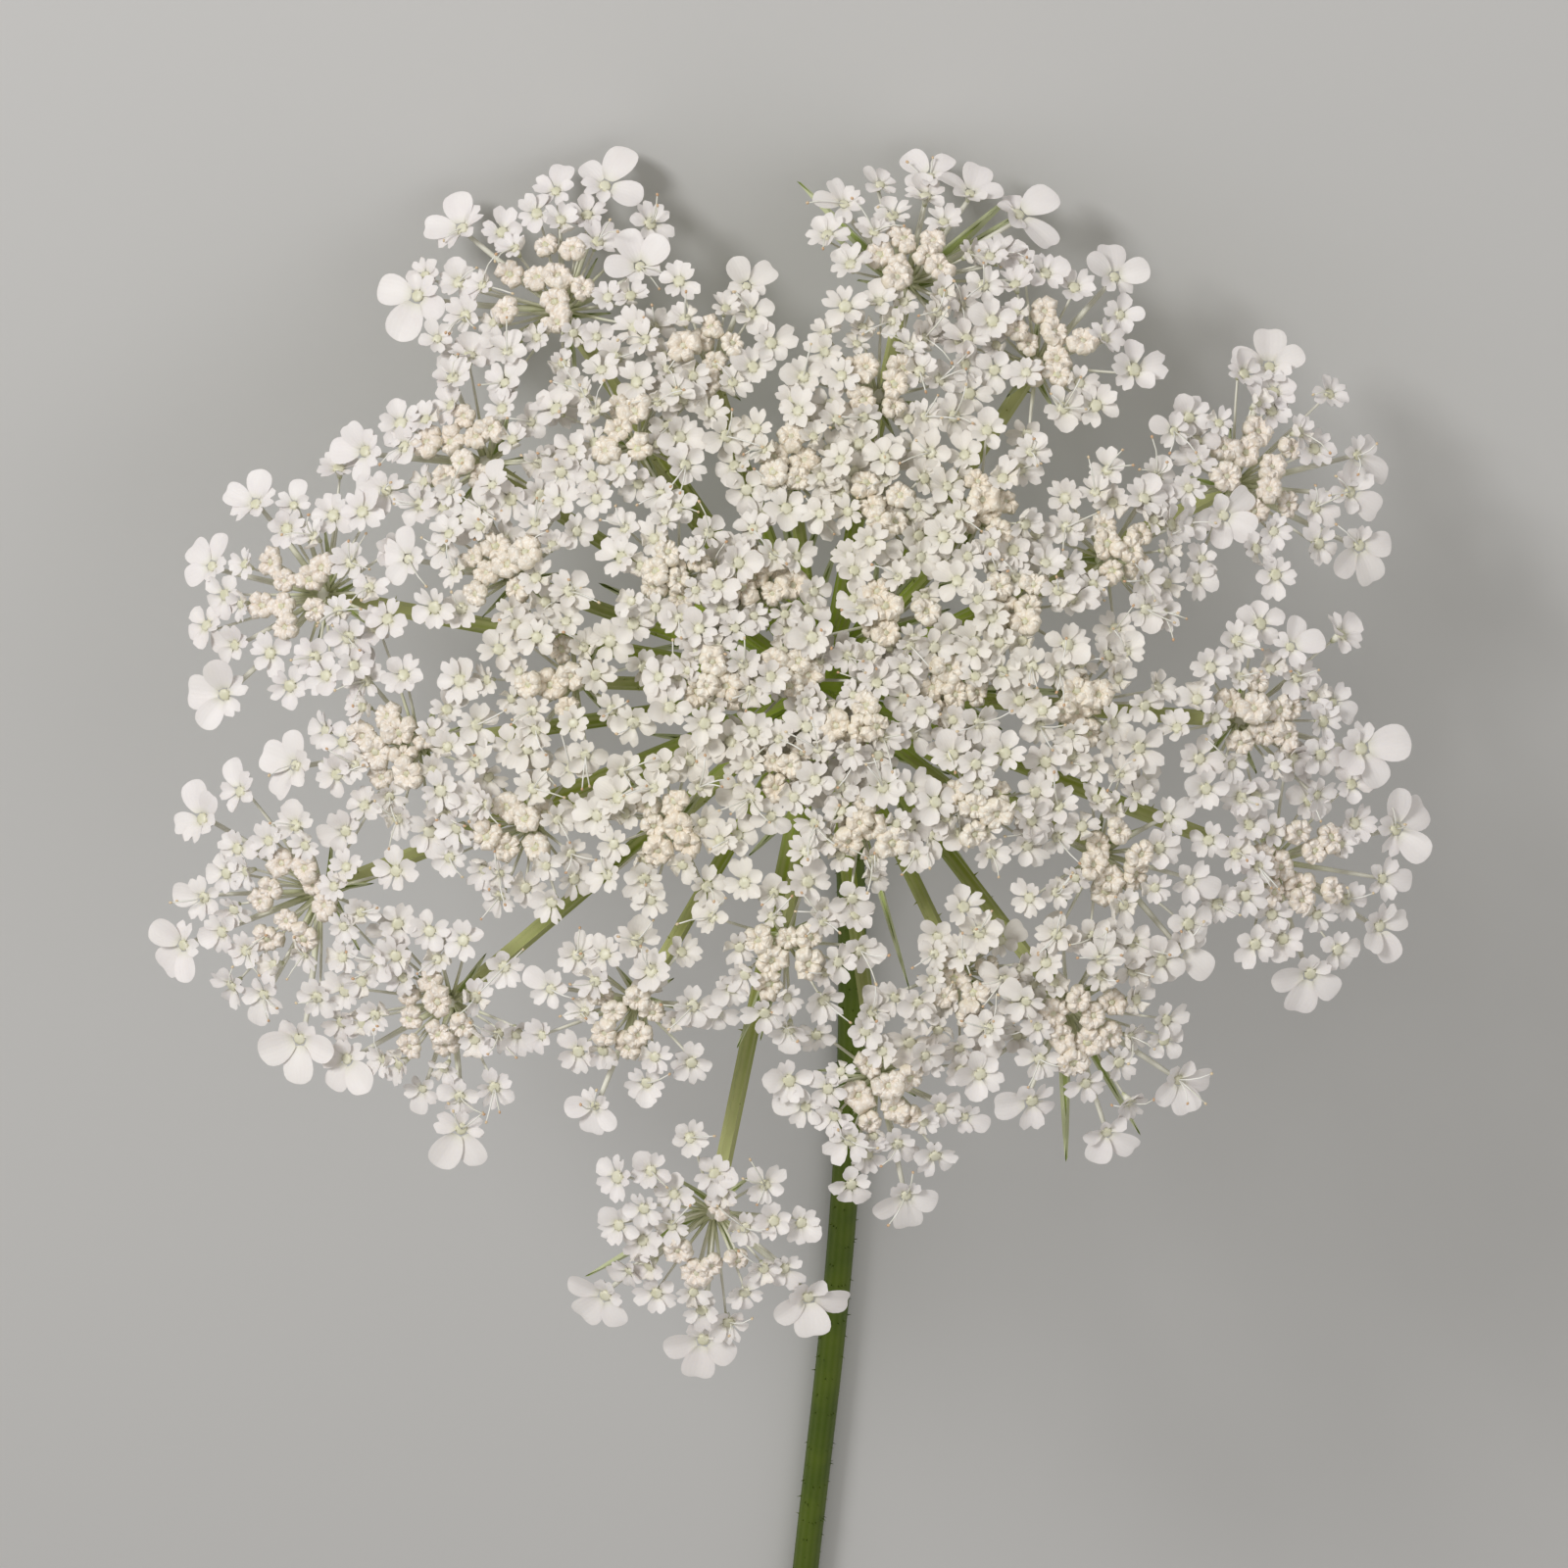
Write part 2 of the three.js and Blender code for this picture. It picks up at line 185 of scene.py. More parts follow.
def joinPieces(name, pieces):
    clearSelection()
    for piece in pieces:
        piece.select_set(True)
    bpy.context.view_layer.objects.active = pieces[0]
    bpy.ops.object.join()
    pieces[0].name = name
    pieces[0].data.name = name
    return pieces[0]


def discard(pieces):
    for piece in pieces:
        bpy.data.objects.remove(piece)


def fromAxes(xAxis, yAxis, zAxis, place):
    matrix = Matrix((xAxis, yAxis, zAxis)).transposed().to_4x4()
    matrix.translation = place
    return matrix


def standing(place, up, towards, size):
    # stands a piece at a place, its Z along up and its X as near to towards as can be
    zAxis = up.normalized()
    xAxis = (towards - zAxis * towards.dot(zAxis)).normalized()
    return fromAxes(xAxis * size[0], zAxis.cross(xAxis) * size[1], zAxis * size[2], place)


# Materials

class Wire:
    # one output of a shader node, for plain sums
    def __init__(self, finish, socket):
        self.finish = finish
        self.socket = socket

    def sum(self, operation, other=None, swapped=False):
        values = [self] if other is None else [self, other]
        if swapped:
            values.reverse()
        return self.finish.node("ShaderNodeMath", {"operation": operation}, dict(enumerate(values)))

    def __add__(self, other):
        return self.sum("ADD", other)

    def __sub__(self, other):
        return self.sum("SUBTRACT", other)

    def __rsub__(self, other):
        return self.sum("SUBTRACT", other, swapped=True)

    def __mul__(self, other):
        return self.sum("MULTIPLY", other)

    __radd__ = __add__
    __rmul__ = __mul__

    def sine(self):
        return self.sum("SINE")

    def above(self, low, high):
        # 0 below low, 1 above high
        sockets = {"Value": self, "From Min": low, "From Max": high}
        return self.finish.node("ShaderNodeMapRange", {"interpolation_type": "SMOOTHSTEP"}, sockets)


class Finish:
    def __init__(self, name, roughness=0.5, subsurface=0.0, glow=(1, 1, 1), shine=0.35):
        self.material = bpy.data.materials.new(name)
        self.material.use_nodes = True
        self.tree = self.material.node_tree
        self.surface = self.tree.nodes["Principled BSDF"]
        self.feed(self.surface, {"Roughness": roughness, "Specular IOR Level": shine})
        if subsurface:
            sockets = {"Weight": subsurface, "Radius": glow, "Scale": 0.0006}
            self.feed(self.surface, {"Subsurface " + key: value for key, value in sockets.items()})

    def feed(self, node, sockets):
        for key, value in sockets.items():
            if isinstance(value, Wire):
                self.tree.links.new(value.socket, node.inputs[key])
            else:
                node.inputs[key].default_value = value

    def node(self, kind, settings, sockets, output=0):
        made = self.tree.nodes.new(kind)
        for key, value in settings.items():
            setattr(made, key, value)
        self.feed(made, sockets)
        return Wire(self, made.outputs[output])

    def mixed(self, share, first, second):
        # colours are tuples or wires
        colours = [c if isinstance(c, Wire) else (*c, 1) for c in (first, second)]
        sockets = {0: share, 6: colours[0], 7: colours[1]}
        return self.node("ShaderNodeMix", {"data_type": "RGBA"}, sockets, 2)

    def objectPlace(self):
        return self.node("ShaderNodeTexCoord", {}, {}, "Object")

    def noise(self, scale, detail):
        sockets = {"Vector": self.objectPlace(), "Scale": scale, "Detail": detail}
        return self.node("ShaderNodeTexNoise", {}, sockets)

    def folds(self, scale):
        # 0 on thin crooked lines, more between them
        bent = self.node("ShaderNodeTexNoise", {}, {"Vector": self.objectPlace(), "Scale": 1100}, 1)
        sway = 0.0005
        sockets = {0: bent, 1: (sway, sway, sway), 2: self.objectPlace()}
        place = self.node("ShaderNodeVectorMath", {"operation": "MULTIPLY_ADD"}, sockets)
        sockets = {"Vector": place, "Scale": scale}
        return self.node("ShaderNodeTexVoronoi", {"feature": "DISTANCE_TO_EDGE"}, sockets)

    def farFrom(self, place):
        sockets = {0: self.objectPlace(), 1: place}
        return self.node("ShaderNodeVectorMath", {"operation": "DISTANCE"}, sockets, "Value")

    def around(self):
        return self.uvPart("X")

    def along(self):
        return self.uvPart("Y")

    def uvPart(self, axis):
        uv = self.node("ShaderNodeUVMap", {"uv_map": "UVMap"}, {})
        return self.node("ShaderNodeSeparateXYZ", {}, {0: uv}, "XYZ".index(axis))

    def wear(self, colour, roughness=None, height=None, depth=0):
        self.feed(self.surface, {"Base Color": colour})
        if roughness:
            self.feed(self.surface, {"Roughness": roughness})
        if height:
            bump = self.node("ShaderNodeBump", {}, {"Height": height, "Distance": depth, "Strength": 0.6})
            self.feed(self.surface, {"Normal": bump})
        return self.material


# in metres: the middle of the head's face, and where the rays meet, round which the rays are painted lighter
faceMiddle = (0.0026, 0.06, 0.036)
paintedLightMiddle = (0.0026, 0.0495, 0.024)


def makePetalMaterial(name, bright, blush, rootGreenAndPaintedShade):
    # UV of a petal: X from its root to its tip, Y across it
    finish = Finish(name, 0.55, 0.15, (0.9, 0.8, 0.65))
    # petals turn darker and greener towards their roots: partly their own green base, partly painted shade
    # between the petals
    root = 1 - finish.around().above(0.0, 0.4)
    veins = (finish.along() * 50.0).sine() * 0.5 + 0.5
    patches = finish.noise(420, 3)
    # warmer towards the middle of the head
    inner = 1 - finish.farFrom(faceMiddle).above(0.014, 0.044)
    broad = finish.noise(60, 1).above(0.42, 0.62)
    first = finish.mixed(patches.above(0.35, 0.75), bright, blush)
    warmth = inner * 0.24 + broad * (inner * 0.12 + 0.07)
    warm = finish.mixed(warmth, first, (0.82, 0.77, 0.61))
    veined = finish.mixed(veins * 0.04, warm, (0.66, 0.61, 0.57))
    colour = finish.mixed(root * 0.55, veined, rootGreenAndPaintedShade)
    fine = finish.noise(5200, 2)
    return finish.wear(colour, patches * 0.2 + 0.42, fine * 0.8 + veins * 0.2, 0.00003)


def makeSpeckledMaterial(name, roughness, patches, edges, colours, grain=None, depth=0):
    # patches and grain: scale and detail of a noise
    finish = Finish(name, roughness)
    colour = finish.mixed(finish.noise(*patches).above(*edges), *colours)
    return finish.wear(colour, None, grain and finish.noise(*grain), depth)


def makeBudMaterial():
    # UV of a bud's petal: X round it, with its cleft at 0 and a half, and Y from below to above
    finish = Finish("budCream", 0.6)
    turn = (finish.around() * math.tau).sine()
    # painted shade: each bud petal is darker and browner along its cleft
    cleft = 1 - (turn * turn).above(0.02, 0.35)
    # darker and greener towards the bottom of each bud petal: partly its own green base, partly painted
    # shade
    low = 1 - finish.along().above(0.3, 0.75)
    patches = finish.noise(230, 2).above(0.35, 0.7)
    outer = finish.farFrom(faceMiddle).above(0.016, 0.046)
    soft = finish.noise(900, 3)
    folds = finish.folds(2300)
    # painted shade: thin brown lines in the crumpled folds of the buds
    lines = 1 - folds.above(0.0, 0.22)
    middle = finish.mixed(patches, (0.92, 0.88, 0.79), (0.91, 0.84, 0.72))
    cream = finish.mixed(outer * 0.85, middle, (0.91, 0.85, 0.80))
    withCleftShade = finish.mixed(cleft * 0.28, cream, (0.75, 0.63, 0.48))
    withFoldShade = finish.mixed(lines * 0.32, withCleftShade, (0.70, 0.54, 0.38))
    colour = finish.mixed(low * 0.35, withFoldShade, (0.74, 0.70, 0.50))
    return finish.wear(colour, soft * 0.25 + 0.45, soft * 0.4 + folds.above(0.0, 0.4) * 0.6, 0.00011)


def makeStalkMaterial():
    # UV Y runs from the hub to the floret
    finish = Finish("stalkPale", 0.5)
    patches = finish.noise(900, 2)
    green = finish.mixed(patches, (0.67, 0.70, 0.40), (0.78, 0.78, 0.55))
    colour = finish.mixed(finish.along().above(0.5, 0.85), green, (0.83, 0.815, 0.71))
    return finish.wear(colour, None, patches, 0.00003)


def makeGreenMaterial(name, deep, pale, stripes, stripeShare, ends=None):
    # UV X runs round the stem, so that its ridges are paler than its grooves, and Y along it; the
    # ends are a colour that it fades to
    finish = Finish(name, 0.5, shine=0.2)
    ridges = (finish.around() * (math.tau * stripes)).sine() * 0.5 + 0.5
    patches = finish.noise(160, 4)
    base = finish.mixed(patches.above(0.3, 0.7), deep, pale)
    if ends:
        # painted light: brighter where the rays meet, deep in the florets' shade
        near = 1 - finish.farFrom(paintedLightMiddle).above(0.004, 0.022)
        inner = finish.mixed(near * 0.9, base, (0.50, 0.65, 0.09))
        base = finish.mixed(finish.along().above(0.73, 1.0) * 0.85, inner, ends)
    colour = finish.mixed(ridges * stripeShare, base, (0.50, 0.51, 0.23))
    fine = finish.noise(2600, 3)
    return finish.wear(colour, patches * 0.25 + 0.38, fine, 0.00006)


def makeBractMaterial():
    # UV of a blade: Y across it, with its pale edges at 0 and 1
    finish = Finish("bractGreen", 0.5, shine=0.2)
    off = finish.along() - 0.5
    edge = (off * off).above(0.09, 0.2)
    patches = finish.noise(300, 3).above(0.3, 0.7)
    green = finish.mixed(patches, (0.32, 0.41, 0.11), (0.44, 0.51, 0.19))
    colour = finish.mixed(edge * 0.7, green, (0.60, 0.62, 0.42))
    return finish.wear(colour, patches * 0.2 + 0.4, finish.noise(2600, 3), 0.00006)


petalWhite = makePetalMaterial(
    "petalWhite", (0.83, 0.79, 0.77), (0.80, 0.75, 0.74), (0.69, 0.68, 0.51)
)
petalCream = makePetalMaterial(
    "petalCream", (0.87, 0.825, 0.775), (0.85, 0.795, 0.74), (0.70, 0.67, 0.48)
)
threadWhite = makeSpeckledMaterial(
    "threadWhite", 0.45, (700, 1), (0.4, 0.6), [(0.86, 0.85, 0.80), (0.76, 0.75, 0.66)]
)
budCream = makeBudMaterial()
discGreen = makeSpeckledMaterial(
    "discGreen", 0.35, (1500, 2), (0.3, 0.7), [(0.655, 0.64, 0.46), (0.74, 0.72, 0.57)], (6000, 2), 0.00005
)
stalkPale = makeStalkMaterial()
antherRust = makeSpeckledMaterial(
    "antherRust", 0.6, (900, 1), (0.4, 0.6), [(0.62, 0.40, 0.24), (0.74, 0.61, 0.41)], (9000, 1), 0.00003
)
stemGreen = makeGreenMaterial("stemGreen", (0.056, 0.094, 0.005), (0.094, 0.136, 0.009), 12, 0.035)
# the rays carry painted light: they are painted a brighter green near where they meet
rayGreen = makeGreenMaterial(
    "rayGreen", (0.18, 0.235, 0.02), (0.29, 0.335, 0.04), 6, 0.6, (0.60, 0.61, 0.30)
)
# painted light: the receptacle's green is made far brighter than the stem's, as if lit, where it lies in the
# florets' shade
receptacleGreenPaintedLight = makeGreenMaterial("receptacleGreenPaintedLight", (0.46, 0.61, 0.07), (0.56, 0.71, 0.11), 10, 0.1)
bractGreen = makeBractMaterial()
print("materials made")


# Petals: a grid whose rows and columns are moved to shape, closed by a second face below

petalShapes = {
    # rows from root to tip: how far out, how wide and how high; the tip: how far its columns are
    # moved, from the middle one to the outer one; then how far the edges rise, the middle sinks and
    # the tip's middle rises
    "notched": {
        "rows": [(0, 0.25, 0), (0.20, 0.72, 0.06), (0.45, 1.04, 0.12), (0.73, 1.10, 0.13), (1, 0.86, 0.06)],
        "tip": (-0.20, -0.055, -0.02, -0.15), "cup": 0.13, "groove": -0.04, "curl": 0.09,
        "thickness": 0.08, "crinkle": 0.025,
    },
    "cleft": {
        "rows": [(0, 0.25, 0), (0.20, 0.66, 0.07), (0.44, 0.98, 0.13), (0.70, 1.13, 0.12), (1, 1.0, 0.03)],
        "tip": (-0.28, -0.085, -0.015, -0.15), "cup": 0.10, "groove": -0.05, "curl": 0.12,
        "thickness": 0.08, "crinkle": 0.025,
    },
    "rounded": {
        "rows": [(0, 0.25, 0), (0.20, 0.70, 0.06), (0.44, 0.99, 0.12), (0.71, 1.0, 0.12), (1, 0.74, 0.05)],
        "tip": (0, -0.015, -0.065, -0.17), "cup": 0.14, "groove": -0.02, "curl": 0,
        "thickness": 0.08, "crinkle": 0.025,
    },
    "broad": {
        "rows": [(0, 0.20, 0), (0.18, 0.66, 0.04), (0.42, 0.98, 0.08), (0.72, 0.99, 0.09), (1, 0.60, 0.05)],
        "tip": (0.03, 0.01, -0.06, -0.17), "cup": 0.07, "groove": -0.02, "curl": 0,
        "thickness": 0.035, "crinkle": 0.02,
    },
    "heart": {
        "rows": [(0, 0.20, 0), (0.18, 0.64, 0.04), (0.42, 0.98, 0.08), (0.72, 1.03, 0.08), (1, 0.70, 0.03)],
        "tip": (-0.09, -0.02, -0.04, -0.16), "cup": 0.06, "groove": -0.03, "curl": 0.05,
        "thickness": 0.035, "crinkle": 0.02,
    },
    "curled": {
        "rows": [(0, 0.3, 0), (0.27, 0.70, 0.03), (0.54, 0.96, 0.13), (0.70, 1.0, 0.30), (0.68, 0.72, 0.47)],
        "tip": (-0.10, -0.02, 0, 0.03), "cup": 0.05, "groove": 0.05, "curl": -0.06, "thickness": 0.10,
        "crinkle": 0.04,
    },
}


def crinkle(piece, amount, seed):
    pickVerts(piece, lambda co: True)
    bpy.ops.transform.vertex_random(offset=amount, seed=seed)
    setMode("OBJECT")


def makePetal(name, shape, seed):
    clearSelection()
    bpy.ops.mesh.primitive_grid_add(x_subdivisions=4, y_subdivisions=6, size=1, location=(0.5, 0, 0))
    petal = takeNew(name)
    home = [vertex.co.copy() for vertex in petal.data.vertices]
    for column, moved in enumerate(shape["tip"]):
        rise = shape["cup"] * (column / 3) ** 2
        away = lambda co: abs(abs(co.y) - column / 6) < 0.05
        shapeVerts(petal, away, move=(0, 0, rise), places=home)
        shapeVerts(petal, lambda co: away(co) and co.x > 0.9, move=(moved, 0, 0), places=home)
    shapeVerts(petal, lambda co: abs(co.y) < 0.05, move=(0, 0, shape["groove"]), places=home)
    inTip = lambda co: abs(co.y) < 0.05 and co.x > 0.9
    shapeVerts(petal, inTip, move=(0, 0, shape["curl"]), places=home)
    for i, (out, wide, high) in enumerate(shape["rows"]):
        at = i / 4
        inRow = lambda co: abs(co.x - at) < 0.05
        shapeVerts(petal, inRow, size=(1, wide, 1), move=(out - at, 0, high), places=home)
    crinkle(petal, shape["crinkle"], seed)
    # the underside is a copy that sinks below the face, and its rim comes back up to meet it
    pickVerts(petal, lambda co: False)
    bpy.ops.mesh.select_non_manifold()
    setMode("OBJECT")
    rim = {v.co.to_tuple(4) for v in petal.data.vertices if v.select}
    sunk = Vector((0, 0, shape["thickness"]))
    setMode("EDIT")
    bpy.ops.mesh.select_all(action="SELECT")
    bpy.ops.mesh.duplicate()
    bpy.ops.mesh.flip_normals()
    bpy.ops.transform.translate(value=-sunk)
    setMode("OBJECT")
    shapeVerts(petal, lambda co: (co + sunk).to_tuple(4) in rim, move=sunk)
    pickVerts(petal, lambda co: True)
    bpy.ops.mesh.remove_doubles(threshold=0.0005)
    setMode("OBJECT")
    if name in ("broad", "heart"):
        # the large ones are made finer
        rounder = petal.modifiers.new("rounder", "SUBSURF")
        rounder.levels = 1
        bpy.ops.object.modifier_apply(modifier="rounder")
    return finished(petal, petalCream if name == "curled" else petalWhite, 75)


def makeBudPetal(seed):
    # a crumpled lump with a cleft along its back, one unit long
    lump = addBall("budPetal", 8, 6, 0.5)
    shapeVerts(lump, lambda co: abs(co.y) < 0.05 and co.z > 0.05, size=(1, 1, 0.62))
    shapeVerts(lump, lambda co: abs(co.y) < 0.05 and co.x > 0.1, size=(0.74, 1, 1))
    shapeVerts(lump, lambda co: co.x < -0.1, size=(1, 0.8, 0.8))
    shapeVerts(lump, lambda co: True, move=(0.5, 0, 0))
    crinkle(lump, 0.085, seed)
    return finished(lump, budCream, 62)


petals = {
    name: [makePetal(name, shape, seed) for seed in (1, 2, 3)] for name, shape in petalShapes.items()
}
petals["closed"] = [makeBudPetal(seed) for seed in range(4, 10)]

# Florets: five petals round a green disc, above the ovary

floretSettings = {
    "seed": 911,
    "discRadius": 0.53,
    "discHeight": 0.2,
    "ovaryLength": 1.0,
    "petalLength": 1.54,
    # how much petals differ: length and width in shares, the others in degrees
    "loose": {"length": 0.15, "width": 0.14, "turn": 9, "tilt": 19, "roll": 17},
    "kinds": {
        # how many are modelled, how far their petals rise and stand out, the size of the disc, and
        # the petals' own lengths and shapes, from the outward one round
        "bud": {"count": 14, "tilt": 14, "root": 0.10, "sunk": -0.15, "wide": 1.05, "turn": 0, "disc": 0.4,
                "lengths": [0.62, 0.54, 0.60, 0.52, 0.58], "shapes": ["closed"] * 5},
        "opening": {"count": 8, "tilt": 19, "root": 0.32, "sunk": 0.0, "wide": 0.9, "turn": 0, "disc": 0.85,
                    "lengths": [0.95, 0.85, 0.8, 0.8, 0.85], "shapes": ["curled"] * 5},
        "even": {"count": 10, "tilt": 15, "root": 0.42, "sunk": 0.02, "wide": 0.92, "turn": 0, "disc": 1,
                 "lengths": [1.08, 0.98, 0.92, 0.92, 0.98], "shapes": ["notched"] * 5},
        "single": {"count": 5, "tilt": 12, "root": 0.40, "sunk": 0.02, "wide": 0.88, "turn": 0, "disc": 1,
                   "lengths": [1.75, 1.2, 0.92, 0.92, 1.2],
                   "shapes": ["broad"] + ["notched"] * 4},
        "pair": {"count": 5, "tilt": 9, "root": 0.38, "sunk": 0.02, "wide": 0.9, "turn": -36, "disc": 1,
                 "lengths": [2.2, 2.2, 1.15, 0.92, 1.25],
                 "shapes": ["broad"] * 2 + ["notched"] * 3},
        "fan": {"count": 6, "tilt": 8, "root": 0.38, "sunk": 0.02, "wide": 0.9, "turn": 0, "disc": 1,
                "lengths": [2.2, 1.95, 1.1, 1.05, 2.0],
                "shapes": ["broad", "broad", "notched", "notched", "broad"]},
    },
    # the share of the petals of one shape that takes another
    "others": {"notched": [("rounded", 0.36), ("cleft", 0.22)], "broad": [("heart", 0.3)],
               "curled": [("cleft", 0.35), ("notched", 0.38)]},
}


def makeDisc():
    # a low cushion with a dip in its middle
    size = floretSettings["discRadius"]
    disc = addBall("disc", 8, 5, size)
    flat = floretSettings["discHeight"] / size
    shapeVerts(disc, lambda co: True, size=(1, 1, flat), move=(0, 0, 0.1))
    shapeVerts(disc, lambda co: math.hypot(co.x, co.y) < 0.05 and co.z > 0, move=(0, 0, -0.12))
    return finished(disc, discGreen)


def makeOvary():
    length = floretSettings["ovaryLength"]
    return finished(addCone("ovary", 7, 0.17, 0.40, length, -length / 2), stalkPale)


def makeFloret(name, kind, draws, disc, ovary):
    flat = kind["disc"]
    centre = Matrix.Translation((0, 0, min(kind["sunk"], 0))) @ Matrix.Diagonal((flat, flat, 1, 1))
    pieces = [copyOf(disc, centre), copyOf(ovary, Matrix())]
    loose = floretSettings["loose"]
    for i, (length, shape) in enumerate(zip(kind["lengths"], kind["shapes"])):
        luck = draws.share()
        for other, share in floretSettings["others"].get(shape, []):
            if 0 <= luck < share:
                shape = other
            luck -= share
        long = floretSettings["petalLength"] * length * (1 + draws.about(loose["length"]))
        wide = long * kind["wide"] * (1 + draws.about(loose["width"]))
        turn = math.radians(kind["turn"] + 72 * i + draws.about(loose["turn"]))
        tilt = math.radians(kind["tilt"] + draws.about(loose["tilt"]))
        if shape == "closed":
            wide *= 1 + draws.about(loose["length"])
        place = (
            Matrix.Rotation(turn, 4, "Z")
            @ Matrix.Translation((kind["root"], 0, kind["sunk"]))
            @ Matrix.Rotation(-tilt, 4, "Y")
            @ Matrix.Rotation(math.radians(draws.about(loose["roll"])), 4, "X")
            @ Matrix.Diagonal((long, wide, long, 1))
        )
        pieces.append(copyOf(draws.one(petals[shape]), place))
    return joinPieces(name, pieces)


def makeThread(name, sides, foot, top, bows, material):
    # one unit long and bowed to +X, by the bows at even steps along it
    thread = addCone(name, sides, foot, top, 1, 0.5)
    cutLong(thread, len(bows))
    for i, bow in enumerate(bows, 1):
        at = i / (len(bows) + 1)
        shapeVerts(thread, lambda co: abs(co.z - at) < 0.1, move=(bow, 0, 0))
    return finished(thread, material)


def makeStamen():
    # a thread that arches over, with its anther at the end
    thread = makeThread("stamen", 4, 0.072, 0.055, (0.25, 0.3), threadWhite)
    clearSelection()
    bpy.ops.mesh.primitive_ico_sphere_add(subdivisions=1, radius=0.13, location=(0, 0, 1))
    anther = takeNew("anther")
    shapeVerts(anther, lambda co: True, size=(1.3, 0.9, 0.4), centre=(0, 0, 1))
    return joinPieces("stamen", [thread, finished(anther, antherRust)])


shapeDraws = Draws(floretSettings["seed"])
disc = makeDisc()
ovary = makeOvary()
florets = {
    name: [makeFloret(f"{name}Floret{i}", kind, shapeDraws, disc, ovary) for i in range(kind["count"])]
    for name, kind in floretSettings["kinds"].items()
}
pedicel = makeThread("pedicel", 5, 1, 0.62, (0.75, 1.0, 0.75), stalkPale)
stamen = makeStamen()
print("florets and buds modelled")


# The head: where the umbellets stand, as in the solids

headSettings = {
    "place": (2.60257, 49.49995, 24),
    "lean": math.radians(50),
    "seed": 4132,
    "rimReach": 42,
    "rimRise": 7,
    "middleRise": 18,
    "unevenness": 0.9,
    "rimFaceLean": math.radians(24),
    "tableGap": 0.03,
    # across, up and spread of each umbellet, along the head's axis
    "umbellets": [
        (-21.5, 31, 9.5), (7, 33, 8), (17.5, 26, 7.5), (34, 16.5, 9.5), (34, -3, 8),
        (37, -14.5, 8.5), (22.5, -14, 7.5), (20, -26.5, 8), (11, -23.5, 6), (4.5, -32, 7.5),
        (-9, -43.5, 9), (-15, -26, 7), (-30.5, -26, 8), (-41.5, -17, 9.5), (-41, 7.5, 9),
        (-33, -5, 7.5), (-27.5, 18, 8), (-9, 25, 6.5), (4.5, 23, 6.5), (-15, 19, 6),
        (-25, 8.5, 7), (-20, 0, 6.5), (-23.5, -11.5, 6.5), (-12, -11.5, 6), (-3, -21, 6.5),
        (-2.5, 16.5, 5), (4.5, 13, 5), (12.5, 13, 6), (23, 10, 6.5), (-11.5, 8, 5.5),
        (-4.5, 7, 4.5), (5, 4.5, 4.5), (15, 5.5, 5), (20, -2, 5.5), (9.5, -1, 4.5),
        (12, -10, 5), (3, -11.5, 5), (-8, -0.5, 4.5), (-2, 0, 4), (-3, -6.5, 4.5), (2.5, -3.5, 4),
    ],
}


def placeUmbellets():
    draws = Draws(headSettings["seed"])
    placed = []
    for number, (across, up, spread) in enumerate(headSettings["umbellets"], 1):
        reach = math.hypot(across, up)
        turn = math.atan2(up, across)
        share = min(reach / headSettings["rimReach"], 1.1)
        fall = (headSettings["middleRise"] - headSettings["rimRise"]) * share * share
        rise = headSettings["middleRise"] - fall + draws.about(headSettings["unevenness"])
        lean = headSettings["rimFaceLean"] * share
        level, upwards = Vector((math.cos(turn), math.sin(turn), 0)), Vector((0, 0, 1))
        face = level * math.sin(lean) + upwards * math.cos(lean)
        outward = level * math.cos(lean) - upwards * math.sin(lean)
        cup = 2.5 + 0.25 * spread
        knob = Vector((across, up, rise)) - face * cup
        placed.append({
            "number": number, "spread": spread, "reach": reach, "turn": turn, "share": share,
            "face": face, "outward": outward, "side": face.cross(outward), "cup": cup, "knob": knob,
            "phase": draws.share(),
        })
    return placed


headMatrix = Matrix.Translation(headSettings["place"]) @ Matrix.Rotation(
    headSettings["lean"] - math.pi / 2, 4, "X"
)
toMetres = Matrix.Scale(0.001, 4)
umbellets = placeUmbellets()

# Where each floret and bud stands in its umbellet

